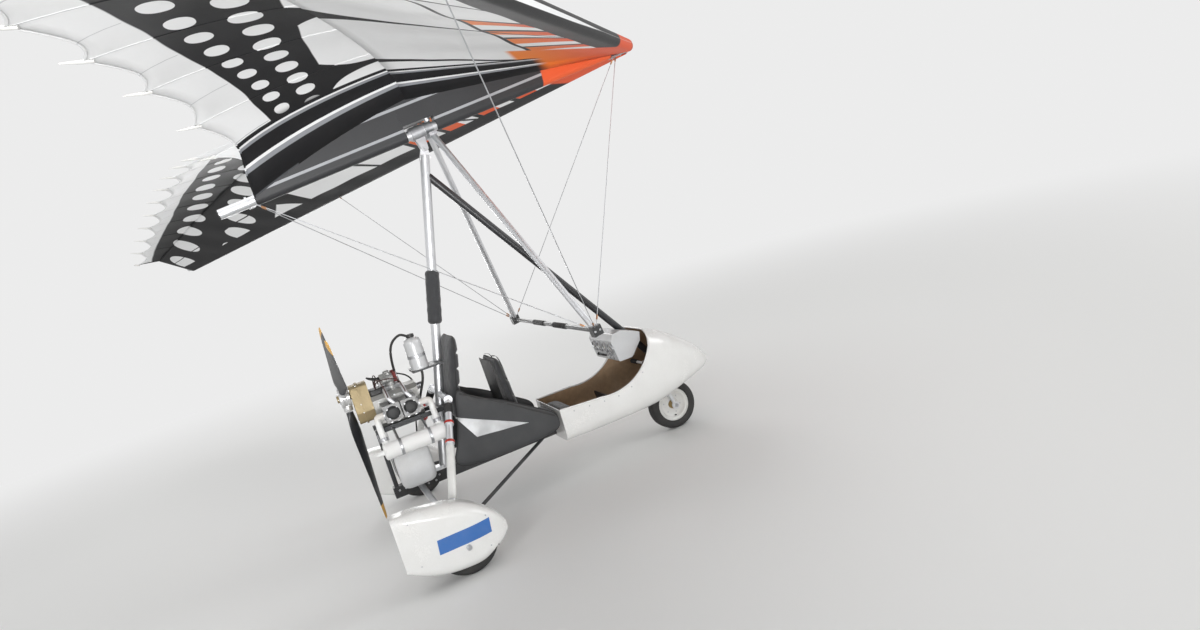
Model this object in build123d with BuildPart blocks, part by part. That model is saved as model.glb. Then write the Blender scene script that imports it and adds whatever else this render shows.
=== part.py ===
from build123d import *
from math import atan2, cos, radians, sin
import os

# Flex-wing microlight: an open three-wheeled trike under a weight-shift wing.
# Millimetres; +X towards the nose, +Y to port, +Z up, origin on the ground under
# the middle of the whole aircraft. Places along the trike are given as a distance
# ahead of the rear axle.
REAR_AXLE_X = -175.9168746
WHEEL_BASE = 1770.0
TRACK = 1684.0

# Wheels
TYRE_RADIUS = 175.0
TYRE_WIDTH = 96.0
RIM_RADIUS = 116.0
RIM_WIDTH = 78.0
RIM_WALL = 7.0
HUB_RADIUS = 30.0
HUB_WIDTH = 92.0
WEB_THICKNESS = 9.0
TREAD_SHARE = 0.34
BULGE_SHARE = 0.5
TYRE_FLATS = 64
RUNNING_GAP = 0.05
SIDE_GAP = 1.0

# Trike frame
KEEL_WIDTH = 60.0
KEEL_HEIGHT = 70.0
KEEL_BOTTOM = 300.0
KEEL_WALL = 4.0
KEEL_REAR = -235.0
KEEL_BEND_BACK = 330.0
KEEL_BEND = WHEEL_BASE - KEEL_BEND_BACK
MAST_RADIUS = 30.0
MAST_WALL = 4.0
MAST_BASE = 105.0
HANG_AHEAD = 615.0
HANG_HEIGHT = 2349.0
HANG_BOLT_RADIUS = 8.0
STRUT_RADIUS = 24.0
STRUT_WALL = 3.0
STRUT_TOP_DROP = 160.0
STRUT_AHEAD = 66.0

# Steering
HEAD_RAKE = 15.0
HEAD_RADIUS = 36.0
HEAD_LENGTH = 118.0
STEM_RADIUS = 26.0
CROWN_THICKNESS = 28.0
CROWN_CLEARANCE = 18.0
FORK_LEG_RADIUS = 14.0
FORK_LEG_Y = 69.0
NOSE_AXLE_RADIUS = 12.5
TOW_BORE_RADIUS = 8.0
DROPOUT_RADIUS = 26.0
FOOT_BAR_HALF = 150.0
FOOT_BAR_RADIUS = 11.0

# Rear gear
STUB_RADIUS = 15.0
STUB_SHOULDER = 22.0
CARRIER_THICKNESS = 40.0
CARRIER_LENGTH = 70.0
SPAT_HALF_WIDTH = 92.0
SPAT_WALL = 5.0
LEG_RADIUS = 21.0
LEG_TOP_Y = 270.0
LEG_TOP_HEIGHT = 835.0
LEG_COLLARS = (0.22, 0.40)
ARM_RADIUS = 20.0
DRAG_RADIUS = 11.0
DRAG_AHEAD = 795.0

# Engine group
ENGINE_HEIGHT = 870.0
CASE_FRONT = 95.0
CASE_LENGTH = 280.0
CASE_HALF_WIDTH = 95.0
CASE_HALF_HEIGHT = 100.0
CYLINDER_STATIONS = (6.0, -100.0)
CYLINDER_END = 262.0
PROP_HEIGHT = 1014.0
PROP_RADIUS = 812.0
PROP_SHAFT_RADIUS = 22.0
GEARBOX_LENGTH = 105.0
HUB_DISC_RADIUS = 62.0
HUB_DISC_LENGTH = 62.0
BLADES = 3
BEARER_Y = 82.0
BEARER_SIZE = 30.0
MUFFLER_RADIUS = 52.0
MUFFLER_REAR = -225.0
MUFFLER_LENGTH = 390.0
MUFFLER_Y = 290.0
MUFFLER_HEIGHT = 668.0
MUFFLER_WALL = 4.0
MUFFLER_CHAMFER = 14.0
OUTLET_RADIUS = 16.0
OUTLET_LENGTH = 34.0
PIPE_RADIUS = 19.0
OIL_TANK_RADIUS = 56.0
OIL_TANK_HEIGHT = 225.0
FUEL_TANK = (222.0, 400.0, 245.0)

# Pod and seats
POD_WALL = 6.0
SEAT_HALF_WIDTH = 190.0
RAIL_SIZE = 30.0
PANNIER_INNER = 236.0
PANNIER_THICKNESS = 66.0

# Wing, in its own frame: from the hang bolt, x along the wing's keel
WING_PITCH = 8.75
WING_KEEL_HEIGHT = 100.0
WING_KEEL_RADIUS = 30.0
WING_KEEL_WALL = 3.0
WING_NOSE = 1620.0
WING_TAIL = -1250.0
HALF_SPAN = 4900.0
TIP_SWEEP = 3600.0
TIP_RISE = 150.0
LEADING_RADIUS = 30.0
LEADING_WALL = 2.5
SAIL_SKIN = 6.0
SAIL_COVER = 8.0
ROOT_Y = 40.0
ROOT_CHORD = 2630.0
TIP_CHORD = 560.0
TIP_WASHOUT = 27.0
ROOT_RISE = 0.1
TWIST_POWER = 0.47
BATTEN_BAYS = 11
SCALLOP_STEPS = 3
SCALLOP_DEPTH = 90.0
CAMBER = 0.078
CAMBER_PLACE = 0.42
DOUBLE_SURFACE = 0.60
CORNER_X = 242.0
CORNER_Y = 850.0
CORNER_Z = -1379.0
UPRIGHT_RADIUS = 19.0
UPRIGHT_WALL = 2.5
UPRIGHT_TOP_X = 78.0
UPRIGHT_TOP_Y = 52.0
BASE_BAR_RADIUS = 14.0
KINGPOST_HEIGHT = 1150.0
KINGPOST_RADIUS = 20.0
WIRE_RADIUS = 2.5
BRACE_STATION = 0.55
HANG_LUG_HALF = 12.0
HANG_CHEEK = 8.0
HANG_GAP = 1.0
RING_RADIUS = 44.0
RING_LENGTH = 84.0

KEEL_TOP = KEEL_BOTTOM + KEEL_HEIGHT
KEEL_MIDDLE = KEEL_BOTTOM + KEEL_HEIGHT / 2


def ahead(distance):
    """Place along X of a point this far ahead of the rear axle."""
    return REAR_AXLE_X + distance


def nose_way(distance):
    """Place along X of a point this far ahead of the nose axle."""
    return ahead(WHEEL_BASE + distance)


def rod(start, end, radius, bore=0.0, mode=Mode.ADD):
    """Add a straight round rod, or a tube where it has a bore, from start to end."""
    line = Vector(*end) - Vector(*start)
    with BuildSketch(Plane(origin=Vector(*start), z_dir=line), mode=Mode.PRIVATE) as ring:
        Circle(radius)
        if bore:
            Circle(bore, mode=Mode.SUBTRACT)
    extrude(ring.sketch, amount=line.length, mode=mode)


def block(low, high, mode=Mode.ADD):
    """Add a plain block between two opposite corners."""
    centre = [(a + b) / 2 for a, b in zip(low, high)]
    size = [b - a for a, b in zip(low, high)]
    with BuildSketch(Plane.XY.offset(low[2]), mode=Mode.PRIVATE) as base:
        with Locations((centre[0], centre[1])):
            Rectangle(size[0], size[1])
    extrude(base.sketch, amount=size[2], mode=mode)


def side_plate(points, middle, thickness, mode=Mode.ADD):
    """Add a plate whose outline, in X and Z, is carried across Y about its middle."""
    face_plane = Plane(origin=(0, middle, 0), x_dir=(1, 0, 0), z_dir=(0, -1, 0))
    with BuildSketch(face_plane, mode=Mode.PRIVATE) as plate:
        with BuildLine():
            Polyline(*points, close=True)
        make_face()
    extrude(plate.sketch, amount=thickness / 2, both=True, mode=mode)


def between(start, end, share):
    """Point at a share of the way from start to end."""
    return tuple(a + (b - a) * share for a, b in zip(start, end))


def skin(loops):
    """Triangular faces between each closed loop of points and the next."""
    faces = []
    for near, far in zip(loops, loops[1:]):
        for i, start in enumerate(near):
            j = (i + 1) % len(near)
            for corners in ((start, near[j], far[j]), (start, far[j], far[i])):
                faces.append(Face(Wire.make_polygon([Vector(*c) for c in corners])))
    return faces


def cap(loop, hole=None):
    """Flat face that closes a loop, or the flat rim between two loops."""
    rim = Wire.make_polygon([Vector(*c) for c in loop])
    return Face(rim, [Wire.make_polygon([Vector(*c) for c in hole])]) if hole else Face(rim)


def save(piece, name):
    """Label a finished piece and write it to its own file."""
    piece.part.label = name
    export_step(piece.part, f"parts/{name}.step")


os.makedirs("parts", exist_ok=True)

# Steering axis: through the nose axle, leaning back by the rake
NOSE_AXLE = (ahead(WHEEL_BASE), 0.0, TYRE_RADIUS)
HEAD_AXIS = (-sin(radians(HEAD_RAKE)), 0.0, cos(radians(HEAD_RAKE)))


def on_head(distance, across=0.0):
    """Point this far up the steering axis from the nose axle."""
    return tuple(a + d * distance for a, d in zip(NOSE_AXLE, HEAD_AXIS))[:1] + (
        across,
        NOSE_AXLE[2] + HEAD_AXIS[2] * distance,
    )


CROWN_LOW = TYRE_RADIUS + CROWN_CLEARANCE
CROWN_HIGH = CROWN_LOW + CROWN_THICKNESS
HEAD_LOW = CROWN_HIGH + SIDE_GAP
HEAD_HIGH = HEAD_LOW + HEAD_LENGTH

# Keel beam: the box spine under the seats, bent up at the front to the steering head
head_low = on_head(HEAD_LOW)
head_high = on_head(HEAD_HIGH)
with BuildPart() as keel_beam:
    side_plate(
        [
            (ahead(KEEL_REAR), KEEL_BOTTOM),
            (ahead(KEEL_BEND), KEEL_BOTTOM),
            (head_low[0] - HEAD_RADIUS / 2, head_low[2] + 12),
            (head_high[0] - HEAD_RADIUS / 2, head_high[2] - 22),
            (ahead(KEEL_BEND) - KEEL_HEIGHT / 2, KEEL_TOP),
            (ahead(KEEL_REAR), KEEL_TOP),
        ],
        0,
        KEEL_WIDTH,
    )
    block(
        (ahead(KEEL_REAR), KEEL_WALL - KEEL_WIDTH / 2, KEEL_BOTTOM + KEEL_WALL),
        (ahead(KEEL_BEND) - KEEL_HEIGHT, KEEL_WIDTH / 2 - KEEL_WALL, KEEL_TOP - KEEL_WALL),
        mode=Mode.SUBTRACT,
    )
    rod(head_low, head_high, HEAD_RADIUS)
    rod(on_head(HEAD_LOW - 1), on_head(HEAD_HIGH + 1), STEM_RADIUS, mode=Mode.SUBTRACT)
save(keel_beam, "keel_beam")

# Mast: raked tube from the keel to the hang bolt, with its foot, top lug and the
# cross beam that carries the tops of the suspension legs
hang = (ahead(HANG_AHEAD), 0.0, HANG_HEIGHT)
mast_foot = (ahead(MAST_BASE), 0.0, KEEL_TOP)
mast_lean = Vector(*hang) - Vector(*mast_foot)


def on_mast(height):
    """Point on the mast's axis at this height above the ground."""
    share = (height - mast_foot[2]) / mast_lean.Z
    return (mast_foot[0] + mast_lean.X * share, 0.0, height)


MAST_TOP = HANG_HEIGHT - 46.0
LEG_BEAM = on_mast(LEG_TOP_HEIGHT)
with BuildPart() as mast:
    rod(on_mast(KEEL_TOP), on_mast(MAST_TOP), MAST_RADIUS, bore=MAST_RADIUS - MAST_WALL)
    block(
        (ahead(MAST_BASE) - 75, -KEEL_WIDTH / 2, KEEL_TOP - 30),
        (ahead(MAST_BASE) + 75, KEEL_WIDTH / 2, KEEL_TOP),
        mode=Mode.SUBTRACT,
    )
    block(
        (ahead(MAST_BASE) - 60, -KEEL_WIDTH / 2, KEEL_TOP),
        (ahead(MAST_BASE) + 60, KEEL_WIDTH / 2, KEEL_TOP + 24),
    )
    rod((LEG_BEAM[0], -LEG_TOP_Y, LEG_BEAM[2]), (LEG_BEAM[0], LEG_TOP_Y, LEG_BEAM[2]), LEG_RADIUS)
    side_plate(
        [
            (hang[0] - 52, MAST_TOP - 24),
            (hang[0] + 20, MAST_TOP - 24),
            (hang[0] + 20, HANG_HEIGHT + 10),
            (hang[0] + 10, HANG_HEIGHT + 20),
            (hang[0] - 10, HANG_HEIGHT + 20),
            (hang[0] - 20, HANG_HEIGHT + 10),
        ],
        0,
        2 * HANG_LUG_HALF,
    )
    rod(
        (hang[0], -HANG_LUG_HALF - 1, hang[2]),
        (hang[0], HANG_LUG_HALF + 1, hang[2]),
        HANG_BOLT_RADIUS + RUNNING_GAP,
        mode=Mode.SUBTRACT,
    )
save(mast, "mast")

# Padded sleeve round the lower mast behind the passenger's head
SLEEVE_RADIUS = 46.0
with BuildPart() as mast_sleeve:
    rod(on_mast(1270), on_mast(1600), SLEEVE_RADIUS, bore=MAST_RADIUS)
save(mast_sleeve, "mast_sleeve")

# Front strut: from just under the hang bolt down to a lug on the steering head
strut_foot = (head_high[0] + HEAD_RADIUS + STRUT_AHEAD, 0.0, head_high[2] - 12)
strut_top = on_mast(HANG_HEIGHT - STRUT_TOP_DROP)
strut_line = Vector(*strut_foot) - Vector(*strut_top)
with BuildPart() as front_strut:
    rod(strut_top, strut_foot, STRUT_RADIUS, bore=STRUT_RADIUS - STRUT_WALL)
    rod(on_mast(KEEL_TOP), on_mast(HANG_HEIGHT), MAST_RADIUS, mode=Mode.SUBTRACT)
    rod(on_head(HEAD_LOW), on_head(HEAD_HIGH), HEAD_RADIUS, mode=Mode.SUBTRACT)
    block(
        (head_high[0] + 30, -14, strut_foot[2] - 38),
        (strut_foot[0] + 14, 14, strut_foot[2] - 6),
    )
    rod(on_head(HEAD_LOW), on_head(HEAD_HIGH + 70), HEAD_RADIUS, mode=Mode.SUBTRACT)
save(front_strut, "front_strut")

# Nose fork: stem in the steering head, crown over the tyre, two legs to the axle
with BuildPart() as nose_fork:
    rod(on_head(CROWN_LOW), on_head(HEAD_HIGH + 30), STEM_RADIUS - RUNNING_GAP)
    rod(on_head(HEAD_HIGH + SIDE_GAP), on_head(HEAD_HIGH + 16), HEAD_RADIUS - 2)
    crown_plane = Plane(origin=on_head(CROWN_LOW), x_dir=(0, 1, 0), z_dir=HEAD_AXIS)
    with BuildSketch(crown_plane):
        SlotOverall(2 * (FORK_LEG_Y + 24), 2 * 30)
    extrude(amount=CROWN_THICKNESS)
    for side in (-1, 1):
        rod(
            on_head(DROPOUT_RADIUS - 6, side * FORK_LEG_Y),
            on_head(CROWN_LOW + 2, side * FORK_LEG_Y),
            FORK_LEG_RADIUS,
        )
        rod(
            on_head(0, side * (FORK_LEG_Y - 9)),
            on_head(0, side * (FORK_LEG_Y + 9)),
            DROPOUT_RADIUS,
        )
    rod(on_head(0, -FORK_LEG_Y - 20), on_head(0, FORK_LEG_Y + 20), NOSE_AXLE_RADIUS, mode=Mode.SUBTRACT)
save(nose_fork, "nose_fork")

# Foot bar on top of the stem, which the pilot pushes to steer
FOOT_BAR_BACK = 46.0
stem_top = on_head(HEAD_HIGH + 30)
bar_x = stem_top[0] - FOOT_BAR_BACK
bar_z = stem_top[2] + FOOT_BAR_RADIUS
with BuildPart() as foot_bar:
    rod((bar_x, -FOOT_BAR_HALF, bar_z), (bar_x, FOOT_BAR_HALF, bar_z), FOOT_BAR_RADIUS)
    rod(stem_top, on_head(HEAD_HIGH + 30 + 1.4 * FOOT_BAR_RADIUS), STEM_RADIUS - 4)
    block(
        (bar_x, -9, bar_z - 5),
        (stem_top[0], 9, bar_z + 5),
    )
    rod(on_head(HEAD_HIGH), stem_top, STEM_RADIUS, mode=Mode.SUBTRACT)
save(foot_bar, "foot_bar")

# Nose axle across the two dropouts
with BuildPart() as nose_axle:
    rod(on_head(0, -FORK_LEG_Y - 22), on_head(0, FORK_LEG_Y + 22), NOSE_AXLE_RADIUS, bore=TOW_BORE_RADIUS)
    for side in (-1, 1):
        rod(
            on_head(0, side * (HUB_WIDTH / 2 + SIDE_GAP)),
            on_head(0, side * (FORK_LEG_Y - 9)),
            NOSE_AXLE_RADIUS + 5,
            bore=NOSE_AXLE_RADIUS - 1,
        )
save(nose_axle, "nose_axle")


def wheel(centre, axle_radius, tyre_name, rim_name):
    """A tyre and its pressed rim, turned about the wheel's axle."""
    turn_plane = Plane(origin=centre, x_dir=(0, 1, 0), z_dir=(1, 0, 0))
    axle_line = Axis(centre, (0, 1, 0))
    bead = RIM_WIDTH / 2 - RIM_WALL / 2
    bulge = RIM_RADIUS + BULGE_SHARE * (TYRE_RADIUS - RIM_RADIUS)
    tread = TREAD_SHARE * TYRE_WIDTH
    bead_radius = RIM_RADIUS / cos(radians(180 / TYRE_FLATS))
    tyre_section = (
        (-bead, bead_radius),
        (bead, bead_radius),
        (TYRE_WIDTH / 2, bulge),
        (tread, TYRE_RADIUS),
        (-tread, TYRE_RADIUS),
        (-TYRE_WIDTH / 2, bulge),
    )
    loops = []
    for flat in range(TYRE_FLATS):
        turn = radians(360 * flat / TYRE_FLATS)
        loops.append(
            [
                (centre[0] + reach * sin(turn), centre[1] + across, centre[2] - reach * cos(turn))
                for across, reach in tyre_section
            ]
        )
    with BuildPart() as tyre:
        add(Solid(Shell(skin(loops + loops[:1]))))
    save(tyre, tyre_name)
    with BuildPart() as rim:
        with BuildSketch(turn_plane):
            with Locations((0, RIM_RADIUS - RIM_WALL / 2)):
                Rectangle(RIM_WIDTH, RIM_WALL)
            with Locations((0, (HUB_RADIUS + axle_radius + RUNNING_GAP) / 2)):
                Rectangle(HUB_WIDTH, HUB_RADIUS - axle_radius - RUNNING_GAP)
            with Locations((0, (RIM_RADIUS + HUB_RADIUS) / 2)):
                Rectangle(WEB_THICKNESS, RIM_RADIUS - HUB_RADIUS)
        revolve(axis=axle_line)
    save(rim, rim_name)


wheel(NOSE_AXLE, NOSE_AXLE_RADIUS, "tyre_nose", "rim_nose")

# Rear gear, one side after the other
WHEEL_Y = TRACK / 2
CARRIER_OUTER = WHEEL_Y - HUB_WIDTH / 2 - SIDE_GAP - 10
CARRIER_INNER = CARRIER_OUTER - CARRIER_THICKNESS
LEG_FOOT_Z = TYRE_RADIUS + 150.0
ARM_AHEAD = -70.0

CORNER_FLATS = 4

# Spat outline sections: distance ahead of the axle, half width, bottom, top, corner radius
SPAT_SECTIONS = (
    (-335.0, 62.0, 150.0, 460.0, 30.0),
    (-240.0, 80.0, 100.0, 459.0, 46.0),
    (-150.0, 90.0, 66.0, 450.0, 60.0),
    (-50.0, 92.0, 50.0, 432.0, 66.0),
    (50.0, 92.0, 50.0, 396.0, 66.0),
    (130.0, 78.0, 74.0, 344.0, 60.0),
    (200.0, 54.0, 112.0, 276.0, 46.0),
    (238.0, 26.0, 150.0, 215.0, 22.0),
)


def rounded_form(sections, place, middle_y, wall=0.0, rear_shift=0.0, mode=Mode.ADD):
    """Loft rounded rectangles set across the trike; a wall makes the form of the inside.

    The stations are distances from the axle that place counts from.

    Each corner is turned in equal flats, so all faces of the form are flat.
    """
    loops = []
    for station, half, low, high, corner in sections:
        shift = 0.0
        if station == sections[0][0]:
            shift = rear_shift
        if station == sections[-1][0]:
            shift = -wall
        across, tall, radius = half - wall, (high - low) / 2 - wall, corner - wall
        outline = []
        for quarter in range(4):
            for flat in range(CORNER_FLATS + 1):
                turn = radians(90 * (quarter + flat / CORNER_FLATS))
                middle = (
                    (across - radius) * (1 if quarter in (0, 3) else -1),
                    (tall - radius) * (1 if quarter in (0, 1) else -1),
                )
                outline.append((middle[0] + radius * cos(turn), middle[1] + radius * sin(turn)))
        loops.append([(place(station + shift), middle_y + a, (low + high) / 2 + b) for a, b in outline])
    add(Solid(Shell(skin(loops) + [cap(loops[0]), cap(loops[-1])])), mode=mode)


for side, name in ((1, "left"), (-1, "right")):
    wheel((ahead(0), side * WHEEL_Y, TYRE_RADIUS), STUB_RADIUS, f"tyre_{name}", f"rim_{name}")

# Wheel carriers with the stub axles that the rear wheels turn on
with BuildPart() as stub_axles:
    for side in (-1, 1):
        block(
            (ahead(-CARRIER_LENGTH / 2), min(side * CARRIER_INNER, side * CARRIER_OUTER), TYRE_RADIUS - 40),
            (ahead(CARRIER_LENGTH / 2), max(side * CARRIER_INNER, side * CARRIER_OUTER), LEG_FOOT_Z),
        )
        rod(
            (ahead(0), side * (CARRIER_OUTER - 2), TYRE_RADIUS),
            (ahead(0), side * (WHEEL_Y + SPAT_HALF_WIDTH + 14), TYRE_RADIUS),
            STUB_RADIUS,
        )
        rod(
            (ahead(0), side * (CARRIER_OUTER - 2), TYRE_RADIUS),
            (ahead(0), side * (CARRIER_OUTER + 10), TYRE_RADIUS),
            STUB_SHOULDER,
        )
        rod(
            (ahead(0), side * (WHEEL_Y + HUB_WIDTH / 2 + SIDE_GAP), TYRE_RADIUS),
            (ahead(0), side * (WHEEL_Y + SPAT_HALF_WIDTH - SPAT_WALL), TYRE_RADIUS),
            STUB_SHOULDER,
        )
save(stub_axles, "stub_axles")

# Spats over the rear wheels, open below and cut away round the wheel carriers
with BuildPart() as spats:
    for side in (-1, 1):
        rounded_form(SPAT_SECTIONS, ahead, side * WHEEL_Y)
    for side in (-1, 1):
        rounded_form(SPAT_SECTIONS, ahead, side * WHEEL_Y, SPAT_WALL, SPAT_WALL, mode=Mode.SUBTRACT)
        block(
            (ahead(-215), side * WHEEL_Y - 62, 0),
            (ahead(160), side * WHEEL_Y + 62, 150),
            mode=Mode.SUBTRACT,
        )
        window_inner = side * (WHEEL_Y - SPAT_HALF_WIDTH - 20)
        window_outer = side * (CARRIER_OUTER + 12)
        block(
            (ahead(-120), min(window_inner, window_outer), 0),
            (ahead(110), max(window_inner, window_outer), 520),
            mode=Mode.SUBTRACT,
        )
        rod(
            (ahead(0), side * WHEEL_Y, TYRE_RADIUS),
            (ahead(0), side * (WHEEL_Y + SPAT_HALF_WIDTH + 20), TYRE_RADIUS),
            STUB_RADIUS,
            mode=Mode.SUBTRACT,
        )
save(spats, "spats")

# Telescopic suspension legs from the mast's cross beam out to the wheel carriers
with BuildPart() as suspension_legs:
    for side in (-1, 1):
        leg_top = (LEG_BEAM[0], side * (LEG_TOP_Y + 12), LEG_TOP_HEIGHT)
        leg_foot = (ahead(0), side * (CARRIER_INNER + CARRIER_THICKNESS / 2), LEG_FOOT_Z + 14)
        rod(between(leg_top, leg_foot, 0.03), leg_foot, LEG_RADIUS)
        rod(
            (LEG_BEAM[0], side * LEG_TOP_Y, LEG_BEAM[2]),
            (LEG_BEAM[0], side * (LEG_TOP_Y + 24), LEG_BEAM[2]),
            LEG_RADIUS + 5,
        )
        block(
            (ahead(-24), side * (CARRIER_INNER + CARRIER_THICKNESS / 2) - 18, LEG_FOOT_Z),
            (ahead(24), side * (CARRIER_INNER + CARRIER_THICKNESS / 2) + 18, LEG_FOOT_Z + 26),
        )
        for share in LEG_COLLARS:
            rod(
                between(leg_top, leg_foot, share),
                between(leg_top, leg_foot, share + 0.03),
                LEG_RADIUS + 7,
            )
    block(
        (ahead(-60), -2 * TRACK, 0),
        (ahead(60), 2 * TRACK, LEG_FOOT_Z),
        mode=Mode.SUBTRACT,
    )
    rod(
        (LEG_BEAM[0], -LEG_TOP_Y, LEG_BEAM[2]),
        (LEG_BEAM[0], LEG_TOP_Y, LEG_BEAM[2]),
        LEG_RADIUS,
        mode=Mode.SUBTRACT,
    )
save(suspension_legs, "suspension_legs")


def gear_tube(root, tip, radius):
    """Tube from the keel's side out to the inner face of a wheel carrier, on both sides."""
    for side in (-1, 1):
        start = (root[0], side * root[1], root[2])
        end = (tip[0], side * tip[1], tip[2])
        rod(between(start, end, -0.05), end, radius)
        block(
            (ahead(-200), min(side * CARRIER_INNER, side * 1000), 0),
            (ahead(200), max(side * CARRIER_INNER, side * 1000), 900),
            mode=Mode.SUBTRACT,
        )
    block(
        (root[0] - 150, -KEEL_WIDTH / 2, 0),
        (root[0] + 150, KEEL_WIDTH / 2, 900),
        mode=Mode.SUBTRACT,
    )


# Axle arms and drag struts, which hold the wheel carriers out and back
with BuildPart() as axle_arms:
    gear_tube(
        (ahead(ARM_AHEAD), KEEL_WIDTH / 2, KEEL_MIDDLE),
        (ahead(-12), CARRIER_INNER + 10, TYRE_RADIUS + 20),
        ARM_RADIUS,
    )
save(axle_arms, "axle_arms")

with BuildPart() as drag_struts:
    gear_tube(
        (ahead(DRAG_AHEAD), KEEL_WIDTH / 2, KEEL_BOTTOM + 18),
        (ahead(18), CARRIER_INNER + 12, TYRE_RADIUS + 50),
        DRAG_RADIUS,
    )
save(drag_struts, "drag_struts")

# Engine bearer: two beams clamped to the mast and propped from the keel's tail
CASE_BOTTOM = ENGINE_HEIGHT - CASE_HALF_HEIGHT
CASE_REAR = CASE_FRONT - CASE_LENGTH
BEARER_TOP = CASE_BOTTOM
BEARER_REAR = CASE_REAR - 40.0
BRACE_RADIUS = 13.0
bearer_mast = on_mast(BEARER_TOP - BEARER_SIZE / 2)
with BuildPart() as engine_bearer:
    for side in (-1, 1):
        block(
            (ahead(BEARER_REAR), side * BEARER_Y - BEARER_SIZE / 2, BEARER_TOP - BEARER_SIZE),
            (bearer_mast[0] + 12, side * BEARER_Y + BEARER_SIZE / 2, BEARER_TOP),
        )
        rod(
            (ahead(BEARER_REAR + 16), side * BEARER_Y, BEARER_TOP - BEARER_SIZE / 2),
            (ahead(KEEL_REAR + 25), side * 14, KEEL_TOP - 10),
            BRACE_RADIUS,
        )
    block(
        (bearer_mast[0] - 44, -BEARER_Y, BEARER_TOP - BEARER_SIZE),
        (bearer_mast[0] + 12, BEARER_Y, BEARER_TOP),
    )
    rod(on_mast(KEEL_TOP), on_mast(HANG_HEIGHT), MAST_RADIUS, mode=Mode.SUBTRACT)
    block(
        (ahead(KEEL_REAR) - 60, -KEEL_WIDTH / 2, KEEL_TOP - 200),
        (ahead(KEEL_REAR) + 200, KEEL_WIDTH / 2, KEEL_TOP),
        mode=Mode.SUBTRACT,
    )
save(engine_bearer, "engine_bearer")

# Crankcase of the flat four, with the round bosses its cylinders bolt to
with BuildPart() as crankcase:
    block(
        (ahead(CASE_REAR), -CASE_HALF_WIDTH, CASE_BOTTOM),
        (ahead(CASE_FRONT), CASE_HALF_WIDTH, ENGINE_HEIGHT + CASE_HALF_HEIGHT),
    )
    chamfer(crankcase.edges().filter_by(Axis.X), length=26)
save(crankcase, "crankcase")

# Finned cylinders and heads, two a side: square fins on a plain barrel, then the head
FIN_COUNT = 6
FIN_HALF = 51.0
FIN_THICKNESS = 7.0
FIN_FIRST = 10.0
FIN_PITCH = 17.0
BARREL_HALF = 41.0
HEAD_SIZE = 98.0
HEAD_HALF_HEIGHT = 52.0
HEAD_DEPTH = 46.0


def engine_slice(station, side, near, far, half_length, half_height):
    """Block across one cylinder, from near to far out from the engine's middle."""
    block(
        (ahead(station) - half_length, min(side * near, side * far), ENGINE_HEIGHT - half_height),
        (ahead(station) + half_length, max(side * near, side * far), ENGINE_HEIGHT + half_height),
    )


with BuildPart() as cylinders:
    for side in (-1, 1):
        for station in CYLINDER_STATIONS:
            engine_slice(station, side, CASE_HALF_WIDTH, CYLINDER_END, BARREL_HALF, BARREL_HALF)
            for fin in range(FIN_COUNT):
                fin_y = CASE_HALF_WIDTH + FIN_FIRST + fin * FIN_PITCH
                engine_slice(station, side, fin_y, fin_y + FIN_THICKNESS, FIN_HALF, FIN_HALF)
            engine_slice(
                station, side, CYLINDER_END - HEAD_DEPTH, CYLINDER_END, HEAD_SIZE / 2, HEAD_HALF_HEIGHT
            )
save(cylinders, "cylinders")

# Round rocker covers on the four heads
COVER_RADIUS = 41.0
COVER_DEPTH = 34.0
with BuildPart() as rocker_covers:
    for side in (-1, 1):
        for station in CYLINDER_STATIONS:
            rod(
                (ahead(station), side * CYLINDER_END, ENGINE_HEIGHT),
                (ahead(station), side * (CYLINDER_END + COVER_DEPTH), ENGINE_HEIGHT),
                COVER_RADIUS,
            )
    outer_rims = rocker_covers.edges().filter_by(GeomType.CIRCLE)
    chamfer([e for e in outer_rims if abs(e.center().Y) > CYLINDER_END + COVER_DEPTH / 2], length=9)
save(rocker_covers, "rocker_covers")

# Reduction gearbox, raised so that its shaft carries the propeller
GEARBOX_REAR = CASE_REAR - GEARBOX_LENGTH
with BuildPart() as gearbox:
    with BuildSketch(Plane(origin=(ahead(GEARBOX_REAR), 0, 0), x_dir=(0, 1, 0), z_dir=(1, 0, 0))):
        with BuildLine():
            Polyline((-62, 830), (62, 830), (78, 900), (58, 1070), (-58, 1070), (-78, 900), close=True)
        make_face()
    extrude(amount=GEARBOX_LENGTH)
    fillet(gearbox.edges().filter_by(Axis.X), radius=22)
    rod(
        (ahead(GEARBOX_REAR), 0, PROP_HEIGHT),
        (ahead(GEARBOX_REAR) - HUB_DISC_LENGTH - 20, 0, PROP_HEIGHT),
        PROP_SHAFT_RADIUS,
    )
save(gearbox, "gearbox")

# Propeller: hub on the gearbox shaft and three ground-adjustable blades
HUB_FRONT = GEARBOX_REAR - 6.0
BLADE_X = HUB_FRONT - HUB_DISC_LENGTH / 2
BLADE_ROOT = 66.0
BLADE_ROOT_RADIUS = 21.0
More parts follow.
